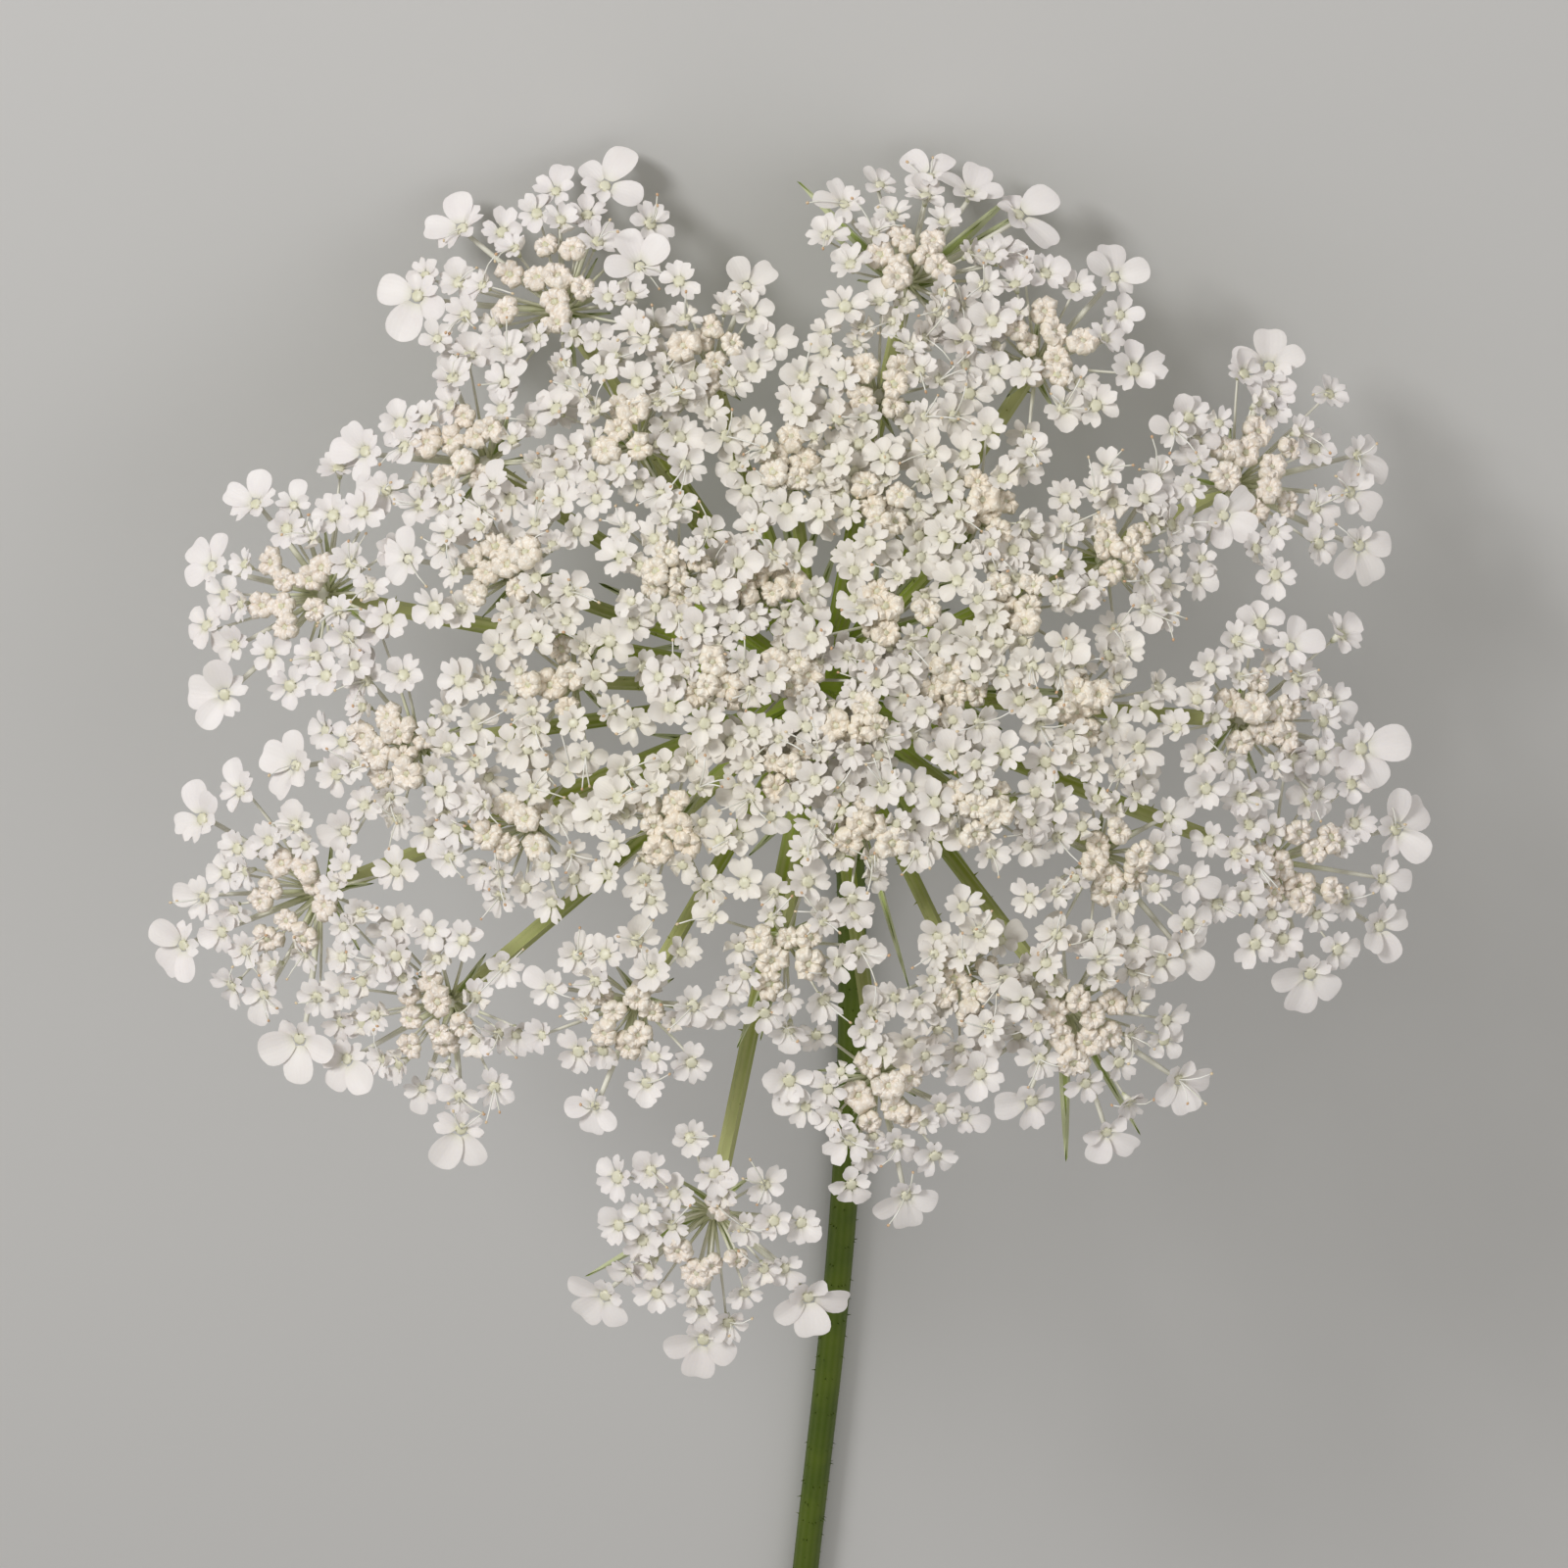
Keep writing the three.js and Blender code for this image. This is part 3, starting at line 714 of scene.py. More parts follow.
umbelletSettings = {
    "seed": 2718,
    "pieceSeed": 1618,
    "rings": [
        # how far out, how many at least and per spread, what kind, and its radius and lift
        (0.93, 1.6, 1.13, "even", 1.4, 0.0),
        (0.70, 0.4, 1.06, "even", 1.3, 0.3),
        (0.50, 0.4, 0.8, "opening", 1.05, 0.4),
        (0.34, 0.4, 0.6, "bud", 1.08, 0.4),
        (0.19, 0.0, 0.34, "bud", 1.08, 0.5),
        (0.04, 1.0, -0.09, "bud", 1.08, 0.4),
    ],
    "ringTurn": 0.31,
    # how much a floret's turn, reach, height and size may differ from its ring's
    "loose": (0.22, 0.07, 0.6, 0.14),
    "budSize": 1.3,
    # the room that the rim's florets keep clear of others, open or not
    "evenRoom": 2.5,
    "budRoom": 1.6,
    "rimSize": 0.94,
    "rimRadius": 1.35,
    # umbellets nearer to the middle than innerEdge keep innerShare of their open florets; further
    # out than outerEdge, singleShare of them have one large petal; openShare of the second ring's
    # are wide open
    "innerEdge": 0.58,
    "outerEdge": 0.6,
    "innerShare": 0.86,
    "singleShare": 0.16,
    "openShare": 0.62,
    # the size of the florets in the middle of the head and what they gain to its rim
    "openSize": (0.84, 0.12),
    "layer": 0.9,
    # in how many rounds neighbours push each other apart, and by how much of their overlap
    "settling": (26, 0.16),
    "pedicelRadius": 0.2,
    "pedicelGains": (0.76, 0.85),
    "stamenShare": 0.34,
    "stamenLength": 2.5,
    "wobble": 0.42,
    "rimWobble": 0.16,
    "largePetals": {"fan": 1.0, "pair": 0.9, "single": 0.6},
    # umbellets that turn further away from the middle of the head than their place asks
    "turnedAway": {2: 0.3, 8: 0.15, 10: 0.15},
    # clear gaps in the head: how far across and up, and how wide
    "clearings": [
        (-8.2, 38.5, 5), (-37.3, 23.9, 3.2), (29.2, 25.7, 3.1), (-0.5, -37.3, 2.3), (24.2, 18.8, 2.1),
        (-5.2, -35.6, 2.1), (-31.6, 24.2, 2.1), (-2.3, 31, 2), (-13.6, -34.6, 1.9), (32.1, 6.3, 1.7),
        (-22.1, -33.7, 1.8), (-5.2, -30.9, 1.7), (-41.6, 17.8, 1.7), (-43.7, -2.8, 1.6), (39.4, 5.9, 1.6),
        (-11, -32.7, 1.5), (4.3, -22.6, 1.4), (13.1, -34.8, 1.3), (-30.1, 1.5, 1.3), (6.8, -19.3, 1.2),
        (-6, -28, 1.2), (-40.7, -3.2, 1.2), (-38.8, -1.7, 1.2), (32, 21.7, 1.2), (26.6, -7.7, 1.2),
        (-26.8, -17.6, 1.2), (-45.6, -5.4, 1.2), (-22.4, -30.6, 1.2), (26.6, -17.7, 1.1),
        (-44.3, -10.2, 1.2), (35.6, 5.5, 1.1), (39.7, 1.7, 1.1), (28.1, 2.7, 1.1), (30.4, -10.4, 1.1),
        (-4.9, 2.6, 1.3), (-9.2, 29.8, 1), (-1.9, 27.5, 1), (-31.6, -17.1, 1), (14.9, -18.7, 1),
        (-15.3, 36.4, 1), (1, 4.2, 1.4), (-1.8, 25.4, 0.9), (-39.3, 15.7, 0.9), (15.9, -20.6, 0.9),
        (-0.2, 8.5, 1.2), (0.8, -0.3, 1.3), (25.9, 3.4, 0.9), (-25.1, -19.5, 0.9), (-7.4, -22.1, 0.9),
        (-3.9, -2.4, 1.5), (4, 8.6, 0.8), (6.4, 4.4, 0.8), (4.8, -2.5, 0.8), (-7.2, -2.9, 0.8),
        (5.6, -7, 0.9), (-8, -7.9, 0.8), (13.4, 17.1, 1.2), (-15.6, -0.4, 1.3), (22.8, -1.8, 1.1),
        (-8.7, 16.9, 1.1), (21.6, -18.1, 1), (5.2, 18.9, 0.9), (-16.1, 4.9, 0.9), (-10.7, -3.8, 0.9),
        (-6.1, -13.8, 0.9), (1.5, -15.3, 0.9), (17.6, 5.2, 0.8), (8.2, -8, 0.8), (0, -9.5, 0.8),
        (15.5, 13.2, 0.8), (-4.4, -14.7, 1), (15.5, -20.5, 0.9), (14, -11.9, 0.9), (9.4, -12.9, 0.7),
    ],
}

# Florets that stand out at the rim: how far across and up from the middle of the umbellet, which
# way the longest petal points (0 for any way), the size, and the kind
rimFlorets = {
    1: [(-6.9, 5, 140, 1, "pair"), (0.6, 7.7, 85, 0.8, "single"), (4.5, 8, 55, 0.95, "fan"),
        (-10.2, -0.6, 245, 1, "fan"), (7.2, 1.5, 110, 0.85, "fan"), (-3.7, 4.6, 90), (-0.8, 5.8, 60),
        (3, 5.8, 20), (-7, 0.5, 100), (-6.4, -2.3, 200), (-9.7, 1.1, 120, 0.9)],
    18: [(3.1, 5.5, 80, 0.72, "pair"), (3.4, 3.4, 300), (5, 1, 30), (3.6, -0.9), (-2.1, 5.9, 30)],
    2: [(-5.3, 4.3, 190, 0.8, "fan"), (-2.5, 6.3, 150, 0.75, "single"), (1.4, 7.2, 120, 0.75, "fan"),
        (4.5, 5.1, 75, 0.85, "fan"), (8.3, 3.7, -5, 1.05, "pair"), (-6.6, 1.7, 200), (-4.8, -0.7, 230),
        (10.3, -1.3, 20), (1.1, 5.1, 100), (-1.5, 3.5, 100)],
    3: [(5.2, 5.5, 85, 0.85, "fan"), (5.6, 2.5, 5, 0.8, "single"), (6.6, -1.9, 20, 1.25),
        (3.6, -4.8, 330, 1.1), (1, -5.1, 270, 1.05), (2.1, 4.7, 40)],
    4: [(1.1, 8.3, 95, 0.95, "fan"), (1.4, 6.3, 90, 1.05), (1.2, 4.8, 250, 0.95),
        (7.9, 1.4, -35, 0.8, "fan"), (7.3, -1.5, -25, 0.95, "single"), (7.8, -5.8, -60, 0.95, "fan"),
        (-2.8, -3.6, -25, 0.85, "fan"), (-5.5, 4, 120), (-4.8, 2.3, 280), (4.6, 1.9, 60), (4.6, -2.7, -20),
        (4.6, -5.7, 200), (1.2, -8.2, 270)],
    5: [(8, -2.2, -30, 1.08, "pair"), (2.1, 5.6, 45, 0.75, "pair"), (5.7, 1.4, -20, 0.75, "single"),
        (-1.9, 6), (-4.2, 3.9), (2.9, 3.3), (-4.8, -3.1), (4.8, -0.1), (4.8, -2.7), (-4.5, -5.4),
        (-0.3, -5.9)],
    6: [(7.9, 3.1, 25, 1, "fan"), (6.7, -4.5, -60, 0.95, "fan"), (1.2, -8.2, -100, 1, "fan"),
        (7, -0.8, -5, 0.85, "single"), (4.7, 3.5, 60), (4.1, -2.4), (3.2, -6.3), (-1, -5.5), (-3.4, -5.9),
        (-4.3, -2.1), (-6.4, -2.8), (1, 5.2, 90)],
    14: [(-7.3, 6.4, 115, 1, "fan"), (-7.1, 0.3, 180, 0.9, "single"), (-8.7, -3.4, 215, 0.9, "fan"),
        (-2.5, -7.4, 250, 0.85, "single"), (0.5, -10.8, 265, 0.95, "fan"), (-4.2, 4.1), (-5.1, 2.2),
        (0.3, 5.8, 90, 1.05), (-5.6, -2.4, 200), (1.8, -7.6), (-3.7, -3.9, 0, 0.95)],
    15: [(-3.5, 6.6, 120, 0.9, "pair"), (-7, 1.8, 140, 0.85, "fan"), (-4.9, -4.5, 165, 0.85, "single"),
        (-6, -8.3, 170, 0.95, "fan"), (-0.3, 6.4, 80, 0.7, "single"), (2.8, 5.5, 0, 1.1),
        (-0.4, -7.8, 270, 1.05), (-2.1, -5.2), (-5.8, -0.5, 200), (4.2, 1.8), (-0.7, 4.5), (1.6, -5.6)],
    16: [(-8.1, -1.5, 165, 0.9, "fan"), (-2.5, 5, 100, 0.9, "single"), (-4.2, 0.3), (-4.6, -2.2),
        (-4, -6.6, 185, 0.9, "single"), (0.5, 5.4, 60), (-1.9, 9.2)],
    17: [(-8, -0.1, 185, 0.92, "fan"), (-5.2, 2, 100, 1.15), (-6.3, -3.2, 180, 0.85, "single"), (-5, 0.2)],
    21: [(-7.1, 0.9, 165, 0.8, "fan"), (-4.8, -3, 200, 1.1), (-2.9, -3)],
    13: [(2.3, -8.8, 268, 0.95, "pair"), (-6.9, -3.5, 272, 0.9, "pair"), (-0.9, -5.8, 255, 0.7, "single"),
        (5, -5.5, 320), (-6.9, 1.9, 160), (2.3, -6.2, 0, 0.95), (5.9, 3.9, 20), (0, 6.6, 90), (2.7, 5.9)],
    12: [(-2.6, -6.9, 250, 0.72, "fan"), (-3.9, -2.7, 200, 1.05), (-6, 2.1, 145, 0.8, "single"),
        (-1.8, 4.7), (-3.9, 4.7, 140), (1.4, -5.1, 270, 0.95), (4.8, -3.6)],
    11: [(-8.1, -4.7, 228, 0.98, "fan"), (-0.4, -9, 262, 1, "fan"), (7.9, -5.8, 285, 1, "fan"),
        (-6.9, 1.1, 130), (-4.4, 5.3, 130, 0.95), (-4.9, 2.6, 0, 0.95), (-2.6, 3.4, 0, 0.9), (-5.1, -0.1),
        (-4, -4.3, 260), (-0.5, -6), (4.5, 4.3, 0, 0.95), (5.2, 1.5, 0, 0.95), (7.3, 1.2, 320, 0.95),
        (-1.3, 8, 60, 0.95), (0.6, 5.2), (6, -2.4, 320, 0.95), (2.9, -4.3, 0, 0.95),
        (4.4, -2.3, 0, 1, "opening"), (3, 1.1, 0, 1, "opening"), (-2.8, 1, 0, 1, "opening")],
    10: [(2, -8, 280, 0.9, "fan"), (-5.8, -1, 175, 0.85, "single"), (-1, -4.8, 200, 0.95),
        (1.3, -3.8, 40, 0.95), (4.6, -1), (6.5, -1.8, 340, 0.7, "single"), (-4.1, 0.5, 0, 0.95)],
    8: [(7.7, -4.5, 295, 0.85, "fan"), (2, -8.4, 290, 0.85, "pair"), (-7.9, -3.9, 180, 1, "single"),
        (-3.9, -5.9, 190, 1, "single"), (6.5, -1.4, 0, 0.95), (3, -3.1, 0, 0.95), (-3.3, -2.7),
        (0.3, -4.6, 270, 0.95), (6.5, 0.3, 30, 0.95)],
    7: [(5.2, -6.8, -45, 0.82, "fan"), (4.2, 3.3, 30, 0.75, "single"), (5.7, -1.4, -20, 0.85, "single"),
        (1.4, -6.2, 270, 1.05), (3.4, 1), (-1.7, -5.8, 200)],
}


def rimFloret(across, up, turn=0, size=1, kind="even"):
    return across, up, turn, size, kind


def placeFlorets():
    settings = umbelletSettings
    looseTurn, looseReach, looseHeight, looseSize = settings["loose"]
    smallest, growth = settings["openSize"]
    draws = Draws(settings["seed"])
    placed = []
    for index, umbellet in enumerate(umbellets):
        face, spread, share = umbellet["face"], umbellet["spread"], umbellet["share"]
        chosen = [rimFloret(*entry) for entry in rimFlorets.get(umbellet["number"], [])]
        for across, up, turn, size, kind in chosen:
            reach = Vector((across, up, -(across * face.x + up * face.y) / face.z))
            gain = settings["largePetals"].get(kind, 0)
            turn = math.radians(turn) if turn else draws.turn()
            placed.append({
                "umbellet": index, "kind": kind, "fixed": True, "gain": gain,
                "across": reach.normalized(),
                "towards": Vector((math.cos(turn), math.sin(turn), 0)),
                "size": size * (settings["rimSize"] if kind == "even" else 1),
                "radius": settings["rimRadius"] * (1 + 0.3 * gain),
                "middle": umbellet["knob"] + face * (umbellet["cup"] + draws.about(0.4)) + reach,
            })
        for ringIndex, (out, least, perSpread, ringKind, radius, lift) in enumerate(settings["rings"]):
            count = max(0, math.floor(least + perSpread * spread + 0.5))
            smaller = 1 if ringKind == "bud" else smallest + growth * min(1, share)
            room = settings["evenRoom" if ringKind == "even" else "budRoom"]
            for i in range(count):
                turn = ringIndex * settings["ringTurn"]
                turn = umbellet["phase"] + turn + (i + draws.about(looseTurn)) / count
                angle = math.tau * turn
                reach = spread * (out + draws.about(looseReach))
                height = umbellet["cup"] + lift + draws.about(looseHeight)
                across = umbellet["outward"] * math.cos(angle) + umbellet["side"] * math.sin(angle)
                size = 1 + draws.about(looseSize)
                place = across * reach
                if any(math.hypot(place.x - x, place.y - y) < room for x, y, *_ in chosen):
                    continue
                kind = ringKind
                luck = draws.share()
                if kind == "even":
                    if share < settings["innerEdge"] and luck > settings["innerShare"]:
                        continue
                    if share > settings["outerEdge"] and luck < settings["singleShare"]:
                        kind = "single"
                    elif ringIndex == 1 and luck > settings["openShare"]:
                        kind = "opening"
                single = kind == "single"
                placed.append({
                    "umbellet": index, "kind": kind, "fixed": False, "gain": 0.25 if single else 0,
                    "across": across, "towards": across,
                    "size": size * (0.8 if single else smaller),
                    "radius": radius * smaller,
                    "middle": umbellet["knob"] + face * height + place,
                })
    return placed


def settleFlorets(placed):
    # neighbours push each other apart, sideways and in height, and the table holds up the lowest
    lean = headSettings["lean"]
    tableUp = np.array((0, -math.cos(lean), math.sin(lean)))
    layer = umbelletSettings["layer"]
    rounds, push = umbelletSettings["settling"]
    middles = np.array([floret["middle"] for floret in placed])
    radii = np.array([floret["radius"] for floret in placed])
    droops = np.array([
        0.5 * floret["radius"] * (1 + floret["gain"] * max(0, floret["across"].y))
        for floret in placed
    ])
    room = radii[:, None] + radii[None, :]
    free = np.array([0.0 if floret["fixed"] else 1.0 for floret in placed])
    clear = np.array(umbelletSettings["clearings"])
    clearRoom = clear[None, :, 2] + 0.7 * radii[:, None]
    for _ in range(rounds):
        low = middles @ tableUp + headSettings["place"][2] - droops
        middles -= np.minimum(low, 0)[:, None] * tableUp
        apart = middles[None, :, :] - middles[:, None, :]
        flat = np.hypot(apart[..., 0], apart[..., 1])
        nearness = np.hypot(flat / room, apart[..., 2] / layer)
        np.fill_diagonal(nearness, 1)
        pushes = push * np.clip(1 - nearness, 0, None)
        sideways = pushes * room / np.maximum(flat, 0.1)
        upwards = pushes * layer * np.where(apart[..., 2] < 0, -1, 1)
        middles[:, 0] -= free * (apart[..., 0] * sideways).sum(1)
        middles[:, 1] -= free * (apart[..., 1] * sideways).sum(1)
        middles[:, 2] -= upwards.sum(1)
        out = middles[:, None, :2] - clear[None, :, :2]
        distance = np.maximum(np.hypot(out[..., 0], out[..., 1]), 0.05)
        inside = np.clip(clearRoom - distance, 0, None) * free[:, None] * 0.4
        middles[:, :2] += (out * (inside / distance)[..., None]).sum(1)
    for floret, middle in zip(placed, middles):
        floret["middle"] = Vector(middle)
    # what is still in a clearing's middle goes
    return [
        floret for floret in placed
        if floret["fixed"] or all(
            math.hypot(floret["middle"].x - x, floret["middle"].y - y) > 0.8 * wide
            for x, y, wide in umbelletSettings["clearings"]
        )
    ]


allFlorets = settleFlorets(placeFlorets())
print("florets placed:", len(allFlorets))

headFinish = toMetres @ headMatrix
hub = addBall("hub", 9, 6, 1)
shapeVerts(hub, lambda co: co.z < -0.2, size=(0.6, 0.6, 1))
finished(hub, stalkPale)
pieceDraws = Draws(umbelletSettings["pieceSeed"])


def keptInside(piece):
    # a floret that would stand in the table, or out of the solids' box, is moved back
    places = np.empty(len(piece.data.vertices) * 3)
    piece.data.vertices.foreach_get("co", places)
    turned = places.reshape(-1, 3) @ np.array(headMatrix.to_3x3()).T + np.array(headMatrix.translation)
    low, high = (np.array(corner) * 1000 for corner in cadBox)
    low[2] = headSettings["tableGap"]
    back = np.maximum(low - turned.min(0), 0) + np.minimum(high - turned.max(0), 0)
    move = headMatrix.to_3x3().inverted() @ Vector(back)
    if move.length > 0:
        piece.data.transform(Matrix.Translation(move))
    return move


def floretPieces(floret, umbellet):
    settings = umbelletSettings
    draws = pieceDraws
    knob, face, across = umbellet["knob"], umbellet["face"], floret["across"]
    size, towards, kind = floret["size"], floret["towards"], floret["kind"]
    stalk = (floret["middle"] - knob).normalized()
    loose = settings["rimWobble" if floret["fixed"] else "wobble"]
    wobble = Vector((draws.about(loose), draws.about(loose), 0))
    away = umbellet["outward"] * settings["turnedAway"].get(umbellet["number"], 0)
    lean = face * 0.8 + stalk * 0.45
    if floret["fixed"]:
        # those at the rim face the head's front more
        lean = face * 0.6 + stalk * 0.25 + Vector((0, 0, 0.35))
    axis = (lean + away + wobble).normalized()
    if kind == "bud":
        size *= settings["budSize"]
        towards = Vector((math.cos(draws.turn()), math.sin(draws.turn()), 0.1))
    head = copyOf(draws.one(florets[kind]), standing(floret["middle"], axis, towards, (size, size, size)))
    middle = floret["middle"] + keptInside(head)
    made = [head]
    # the pedicel runs from the hub to the ovary's foot
    neck = middle - axis * size * (0.5 if kind == "bud" else 0.9)
    foot = knob + across * 0.45 + face * 0.35
    long = neck - foot
    least, gain = settings["pedicelGains"]
    thick = settings["pedicelRadius"] * (least + gain * min(floret["gain"], 1))
    bow = across * 0.6 - face * 0.7
    made.append(copyOf(pedicel, standing(foot, long, bow, (thick, thick, long.length))))
    if kind != "bud" and draws.share() < settings["stamenShare"]:
        for _ in range(1 + int(draws.share() * 2.2)):
            lean = Vector((draws.about(1), draws.about(1), draws.about(0.3)))
            length = settings["stamenLength"] + draws.about(0.7)
            reach = (axis * 0.6 + lean).normalized() * length
            thread = copyOf(stamen, standing(middle + axis * 0.1, reach, axis, (1, 1, reach.length)))
            keptInside(thread)
            made.append(thread)
    return made


def buildUmbellets():
    for index, umbellet in enumerate(umbellets):
        seat = standing(umbellet["knob"], umbellet["face"], umbellet["outward"], (0.95, 0.95, 0.7))
        made = [copyOf(hub, seat)]
        for floret in allFlorets:
            if floret["umbellet"] == index:
                made += floretPieces(floret, umbellet)
        piece = joinPieces(f"florets_{umbellet['number']:02d}", made)
        piece.data.transform(headFinish)
        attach(piece, "root")
        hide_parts(f"umbellet_{umbellet['number']:02d}")


buildUmbellets()
print("umbellets built")


# The stem and the rays: ridged rods bent along curves

stemSettings = {
    "seed": 577,
    "radius": 1.24,
    "length": 141.6,
    # the radius of the rays in the middle, and what it gains to the rim
    "rayRadius": (0.42, 0.24),
    # how many bracts below an inner and an outer umbellet, and their length in spreads of it
    "bracteoles": (3, 5),
    "bracteoleLength": 0.44,
    "bracteoleWidth": 0.48,
    "bristleLength": 0.32,
    "rayBristles": 26,
    "stemBristles": 420,
    "bow": 3.0,
    "bowSpan": 118,
    "solidDiameter": 2.6,
    "tableGap": 0.08,
    "receptacleRadius": 3.2,
    "receptacleHeight": 1.9,
    # long blades below umbellets: how far across and up from its middle the tip is, and the width
    "longBlades": {
        2: [(-8.0, 5.6, 0.8), (7.0, 4.7, 0.95), (7.4, 3.3, 0.95), (-5.9, 1.9, 0.7)],
        8: [(-1.0, -9.4, 0.85), (4.2, -7.6, 0.6)],
        11: [(-8.6, -2.5, 0.7)],
        25: [(-3.2, -6.4, 0.65), (-1.6, -5.9, 0.5)],
        37: [(3.2, -10.8, 0.5)],
    },
}


def makeRod(name, sides, cuts, groove, finish):
    # a rod of unit radius and length up the Z axis, with every other edge set in
    clearSelection()
    bpy.ops.mesh.primitive_cylinder_add(vertices=sides, radius=1, depth=1, location=(0, 0, 0.5))
    rod = takeNew(name)
    cutLong(rod, cuts)
    odd = lambda co: round(math.atan2(co.y, co.x) / (math.tau / sides) + 100 * sides) % 2 == 1
    shapeVerts(rod, odd, size=(groove, groove, 1))
    return finished(rod, finish, 50)


def bendAlong(rod, points, radius):
    # points are places with their two handles
    clearSelection()
    bpy.ops.curve.primitive_bezier_curve_add()
    path = bpy.context.active_object
    path.location = (0, 0, 0)
    path.data.resolution_u = 20
    path.data.use_stretch = True
    path.data.use_deform_bounds = True
    spline = path.data.splines[0]
    spline.bezier_points.add(len(points) - 2)
    for knot, (before, place, after) in zip(spline.bezier_points, points):
        knot.handle_left_type = knot.handle_right_type = "FREE"
        knot.co = place
        knot.handle_left = before
        knot.handle_right = after
    bent = copyOf(rod, Matrix.Diagonal((radius, radius, 10, 1)))
    activate(bent)
    bend = bent.modifiers.new("bend", "CURVE")
    bend.object = path
    bend.deform_axis = "POS_Z"
    bpy.ops.object.modifier_apply(modifier="bend")
    bpy.data.objects.remove(path)
    return bent


def smoothKnots(places):
    knots = []
    for i, place in enumerate(places):
        before = places[max(i - 1, 0)]
        after = places[min(i + 1, len(places) - 1)]
        slope = (after - before) / 6 if 0 < i < len(places) - 1 else (after - before) / 3
        knots.append((place - slope, place, place + slope))
    return knots


def stemPlace(run):
    settings = stemSettings
    lean = headSettings["lean"]
    bend = (headSettings["place"][2] - settings["solidDiameter"] / 2) / (1 - math.cos(lean))
    angle = max(0, lean - run / bend)
    back = bend * (math.sin(lean) - math.sin(angle)) + max(0, run - bend * lean)
    drop = bend * (math.cos(angle) - math.cos(lean))
    swing = settings["bow"] * math.sin(math.pi * run / settings["bowSpan"])
    sunk = settings["solidDiameter"] / 2 - settings["radius"] - settings["tableGap"]
    return Vector((swing, -back, -drop - sunk)) + Vector(headSettings["place"])


def rayEnds(umbellet):
    reach = stemSettings["receptacleRadius"] * 0.6 * min(1, umbellet["reach"] / headSettings["rimReach"])
    start = Vector((reach * math.cos(umbellet["turn"]), reach * math.sin(umbellet["turn"]), 0))
    direction = (umbellet["face"] + (umbellet["knob"] - start).normalized()).normalized()
    return start, umbellet["knob"] - direction * 0.4, direction


def makeRay(umbellet, rod):
    start, end, direction = rayEnds(umbellet)
    early = (end - start) * 0.45
    early.z *= 0.6
    length = (end - start).length
    near, far = start + early, end - direction * (0.25 * length)
    least, gain = stemSettings["rayRadius"]
    radius = least + gain * min(1, umbellet["share"])
    return bendAlong(rod, [(start - early, start, near), (far, end, end + direction)], radius)


def makeBlade():
    # a narrow leaf one unit long along X, one unit wide and thick
    clearSelection()
    bpy.ops.mesh.primitive_grid_add(x_subdivisions=6, y_subdivisions=2, size=1, location=(0.5, 0, 0))
    blade = takeNew("blade")
    for i, width in enumerate((0.8, 1.0, 1.0, 0.86, 0.66, 0.4, 0.04)):
        at = i / 6
        lift = 0.6 * at * at
        shapeVerts(blade, lambda co: abs(co.x - at) < 0.05, size=(1, width, 1), move=(0, 0, lift))
    shapeVerts(blade, lambda co: abs(co.y) > 0.01, move=(0, 0, 0.25))
    solid = blade.modifiers.new("thickness", "SOLIDIFY")
    solid.thickness = 0.3
    solid.offset = 0
    bpy.ops.object.modifier_apply(modifier="thickness")
    return finished(blade, bractGreen, 60)


def placeBlade(blade, root, out, face, wide):
    side = face.cross(out).normalized()
    over = out.cross(side).normalized()
    return copyOf(blade, fromAxes(out, side * wide, over * 0.7, root))


def makeBracteoles(umbellet, blade, draws):
    _, end, direction = rayEnds(umbellet)
    root = end - direction * 0.25
    face = umbellet["face"]
    made = []
    inner, outer = stemSettings["bracteoles"]
    count = outer if umbellet["share"] > 0.5 else inner
    for i in range(count):
        angle = math.tau * (umbellet["phase"] + (i + 0.5 + draws.about(0.2)) / count)
        away = umbellet["outward"] * math.cos(angle) + umbellet["side"] * math.sin(angle)
        length = umbellet["spread"] * (stemSettings["bracteoleLength"] + draws.about(0.12))
        out = (away + face * (0.1 + draws.about(0.12))).normalized() * length
        wide = stemSettings["bracteoleWidth"] + draws.about(0.1)
        made.append(placeBlade(blade, root, out, face, wide))
    middle = umbellet["knob"] + face * umbellet["cup"]
    for across, up, wide in stemSettings["longBlades"].get(umbellet["number"], []):
        out = Vector((middle.x + across - root.x, middle.y + up - root.y, 0))
        out.z = 0.6 - (out.x * face.x + out.y * face.y) / face.z
        made.append(placeBlade(blade, root, out, face, wide))
    return made


def makeBristles(rod, bristle, count, draws):
    # small teeth that stand on the rod's ridges, though not on its underside
    made = []
    for _ in range(count):
        vertex = draws.one(rod.data.vertices)
        long = stemSettings["bristleLength"] * (1 + draws.about(0.4))
        lean = vertex.normal + Vector((draws.about(0.3), draws.about(0.3), draws.about(0.3)))
        place = standing(vertex.co, lean, Vector((0.3, 0.9, 0.1)), (long, long, long))
        if vertex.normal.z > -0.2:
            made.append(copyOf(bristle, place))
    return made


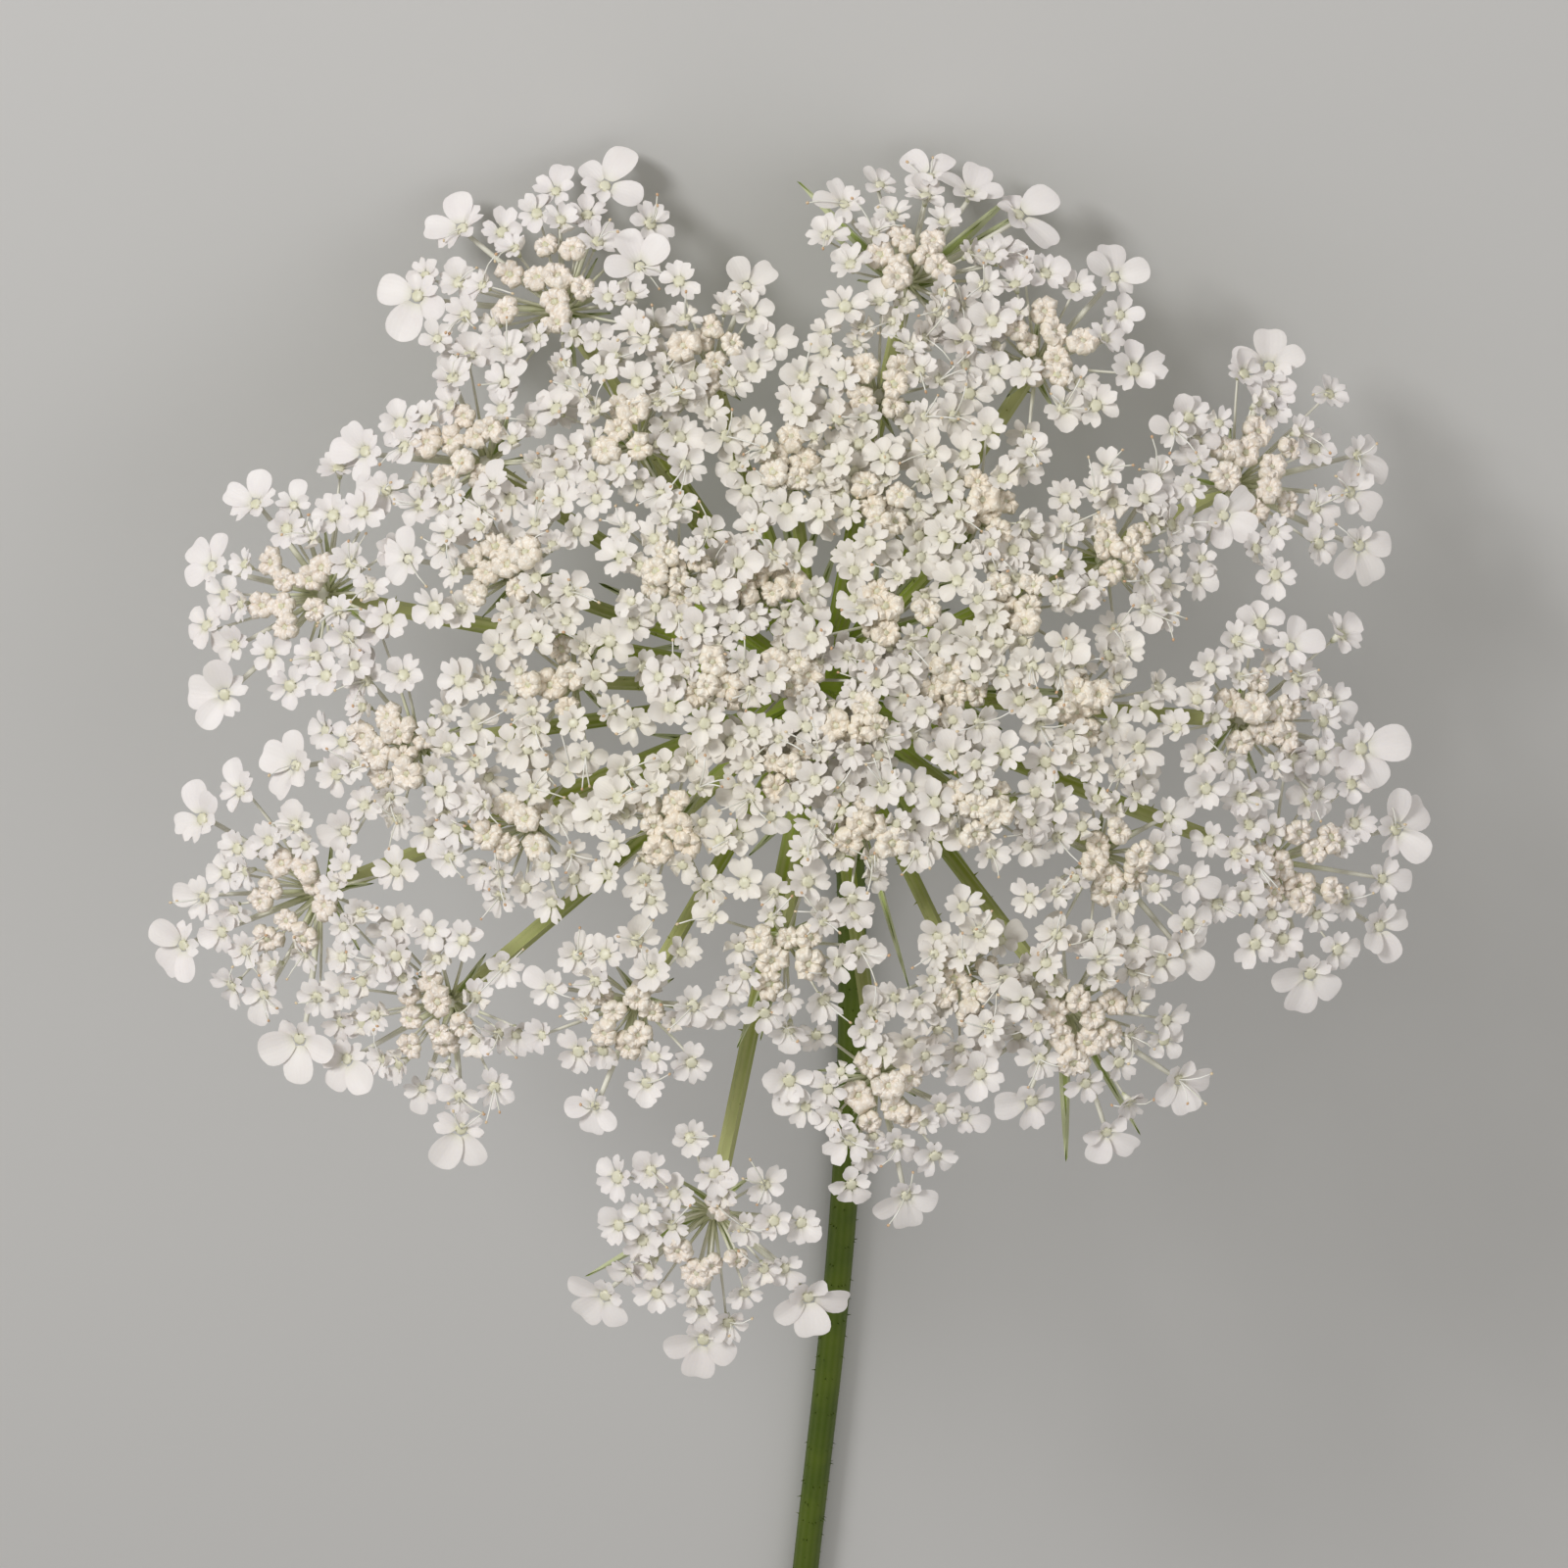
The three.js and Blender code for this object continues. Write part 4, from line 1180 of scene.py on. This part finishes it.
def buildStem():
    rayBristle, stemBristle = (
        finished(addCone("bristle", 4, 0.2, 0.02, 1, 0.42), green) for green in (rayGreen, stemGreen)
    )
    rayRod = makeRod("ray", 12, 13, 0.80, rayGreen)
    stemRod = makeRod("stem", 24, 59, 0.955, stemGreen)
    blade = makeBlade()
    draws = Draws(stemSettings["seed"])
    made = []
    for umbellet in umbellets:
        ray = makeRay(umbellet, rayRod)
        made += [ray] + makeBristles(ray, rayBristle, stemSettings["rayBristles"], draws)
        made += makeBracteoles(umbellet, blade, draws)
    receptacle = addBall("receptacle", 20, 10, 1)
    size = stemSettings["receptacleRadius"]
    shapeVerts(receptacle, lambda co: True, size=(size, size, stemSettings["receptacleHeight"]))
    shapeVerts(receptacle, lambda co: co.z < -0.1, size=(0.72, 0.72, 1.9))
    made.append(finished(receptacle, receptacleGreenPaintedLight))
    for piece in made:
        piece.data.transform(headMatrix)
    places = [stemPlace(stemSettings["length"] * i / 11) for i in range(12)]
    stalk = bendAlong(stemRod, smoothKnots(places), stemSettings["radius"])
    made += [stalk] + makeBristles(stalk, stemBristle, stemSettings["stemBristles"], draws)
    stem = joinPieces("stemAndRays", made)
    stem.data.transform(toMetres)
    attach(stem, "root")
    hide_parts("stem")
    discard([rayRod, stemRod, rayBristle, stemBristle])
    return blade


blade = buildStem()
print("stem and rays built")

# The whorl of bracts below the rays

bractSettings = {
    "count": 7,
    "level": -4.6,
    "length": 17,
    "width": 1.15,
    "droop": -0.12,
    "lobes": [(0.28, 6.0), (0.5, 5.0)],
    "lobeTurn": math.radians(33),
}


def makeBract(blade):
    # the rib along X with pairs of narrow lobes
    settings = bractSettings
    length = settings["length"]
    made = [copyOf(blade, Matrix.Diagonal((length, settings["width"], 1.6, 1)))]
    for share, long in settings["lobes"]:
        for hand in (-1, 1):
            place = (
                Matrix.Translation((length * share, 0, 0.15))
                @ Matrix.Rotation(hand * settings["lobeTurn"], 4, "Z")
                @ Matrix.Diagonal((long, 0.6, 0.8, 1))
            )
            made.append(copyOf(blade, place))
    return joinPieces("bract", made)


def buildInvolucre(blade):
    settings = bractSettings
    seat = headMatrix.inverted() @ stemPlace(-settings["level"] - 0.5)
    seat.z = settings["level"] + 0.3
    bract = makeBract(blade)
    made = []
    for i in range(settings["count"]):
        angle = math.tau * i / settings["count"]
        along = Vector((math.cos(angle), math.sin(angle), settings["droop"])).normalized()
        yAxis = Vector((0, 0, 1)).cross(along).normalized()
        made.append(copyOf(bract, fromAxes(along, yAxis, along.cross(yAxis), seat + along)))
    clearSelection()
    bpy.ops.mesh.primitive_torus_add(
        major_segments=24, minor_segments=8, major_radius=1.55, minor_radius=0.55, location=seat
    )
    made.append(finished(takeNew("collar"), bractGreen))
    piece = joinPieces("bractWhorl", made)
    piece.data.transform(headFinish)
    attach(piece, "root")
    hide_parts("involucre")
    discard([bract])


buildInvolucre(blade)
discard([blade, hub, pedicel, stamen, disc, ovary])
discard([piece for shape in petals.values() for piece in shape])
discard([piece for kind in florets.values() for piece in kind])
print("bracts built")


# The floor, the light and the camera

stageSettings = {
    "floorSize": 4.0,
    "floorTint": (0.625, 0.62, 0.612),
    "worldTint": (1, 0.978, 0.94),
    "worldStrength": 0.46,
    "litPlace": (0, 0.05, 0.03),
    "keyPower": 2.22,
    "keySize": 0.17,
    "keyPlace": (-0.315, 0.51, 0.35),
    "fillPower": 0.6,
    "fillSize": 0.6,
    "fillPlace": (0.45, 0.25, 0.75),
}


def makeFloor():
    clearSelection()
    bpy.ops.mesh.primitive_plane_add(size=stageSettings["floorSize"], location=(0, 0, -0.0001))
    floor = takeNew("floor")
    finish = Finish("floorPaper", 0.8)
    tint = stageSettings["floorTint"]
    darker = tuple(0.97 * value for value in tint)
    floor.data.materials.append(finish.wear(finish.mixed(finish.noise(9, 3), tint, darker)))


cameraSettings = {
    "lens": 135,
    "distance": 0.459,
    "elevation": math.radians(51.6),
    "target": (-0.0004, 0.0484, 0.035),
}


def makeCamera():
    elevation = cameraSettings["elevation"]
    back = Vector((0, math.cos(elevation), math.sin(elevation)))
    up = Vector((0, math.sin(elevation), -math.cos(elevation)))
    camera = bpy.data.objects.new("camera", bpy.data.cameras.new("camera"))
    camera.data.lens = cameraSettings["lens"]
    camera.data.clip_start = 0.01
    place = Vector(cameraSettings["target"]) + back * cameraSettings["distance"]
    camera.matrix_world = fromAxes(up.cross(back), up, back, place)
    bpy.context.scene.collection.objects.link(camera)
    bpy.context.scene.camera = camera


def makeLight(name):
    lamp = bpy.data.objects.new(name, bpy.data.lights.new(name, "AREA"))
    place = Vector(stageSettings[name + "Place"])
    lamp.data.shape = "DISK"
    lamp.data.size = stageSettings[name + "Size"]
    lamp.data.energy = stageSettings[name + "Power"]
    lamp.location = place
    aim = Vector(stageSettings["litPlace"]) - place
    lamp.rotation_euler = aim.to_track_quat("-Z", "Y").to_euler()
    bpy.context.scene.collection.objects.link(lamp)


def makeWorld():
    world = bpy.data.worlds.new("studio")
    bpy.context.scene.world = world
    world.use_nodes = True
    background = world.node_tree.nodes["Background"]
    background.inputs["Color"].default_value = (*stageSettings["worldTint"], 1)
    background.inputs["Strength"].default_value = stageSettings["worldStrength"]


makeFloor()
makeWorld()
makeLight("key")
makeLight("fill")
makeCamera()
bpy.context.scene.view_settings.view_transform = "Standard"
print("stage set")

faceCount = sum(
    len(polygon.vertices) - 2
    for piece in bpy.context.scene.objects
    if piece.type == "MESH" and not piece.hide_render
    for polygon in piece.data.polygons
)
print("triangles shown:", faceCount)
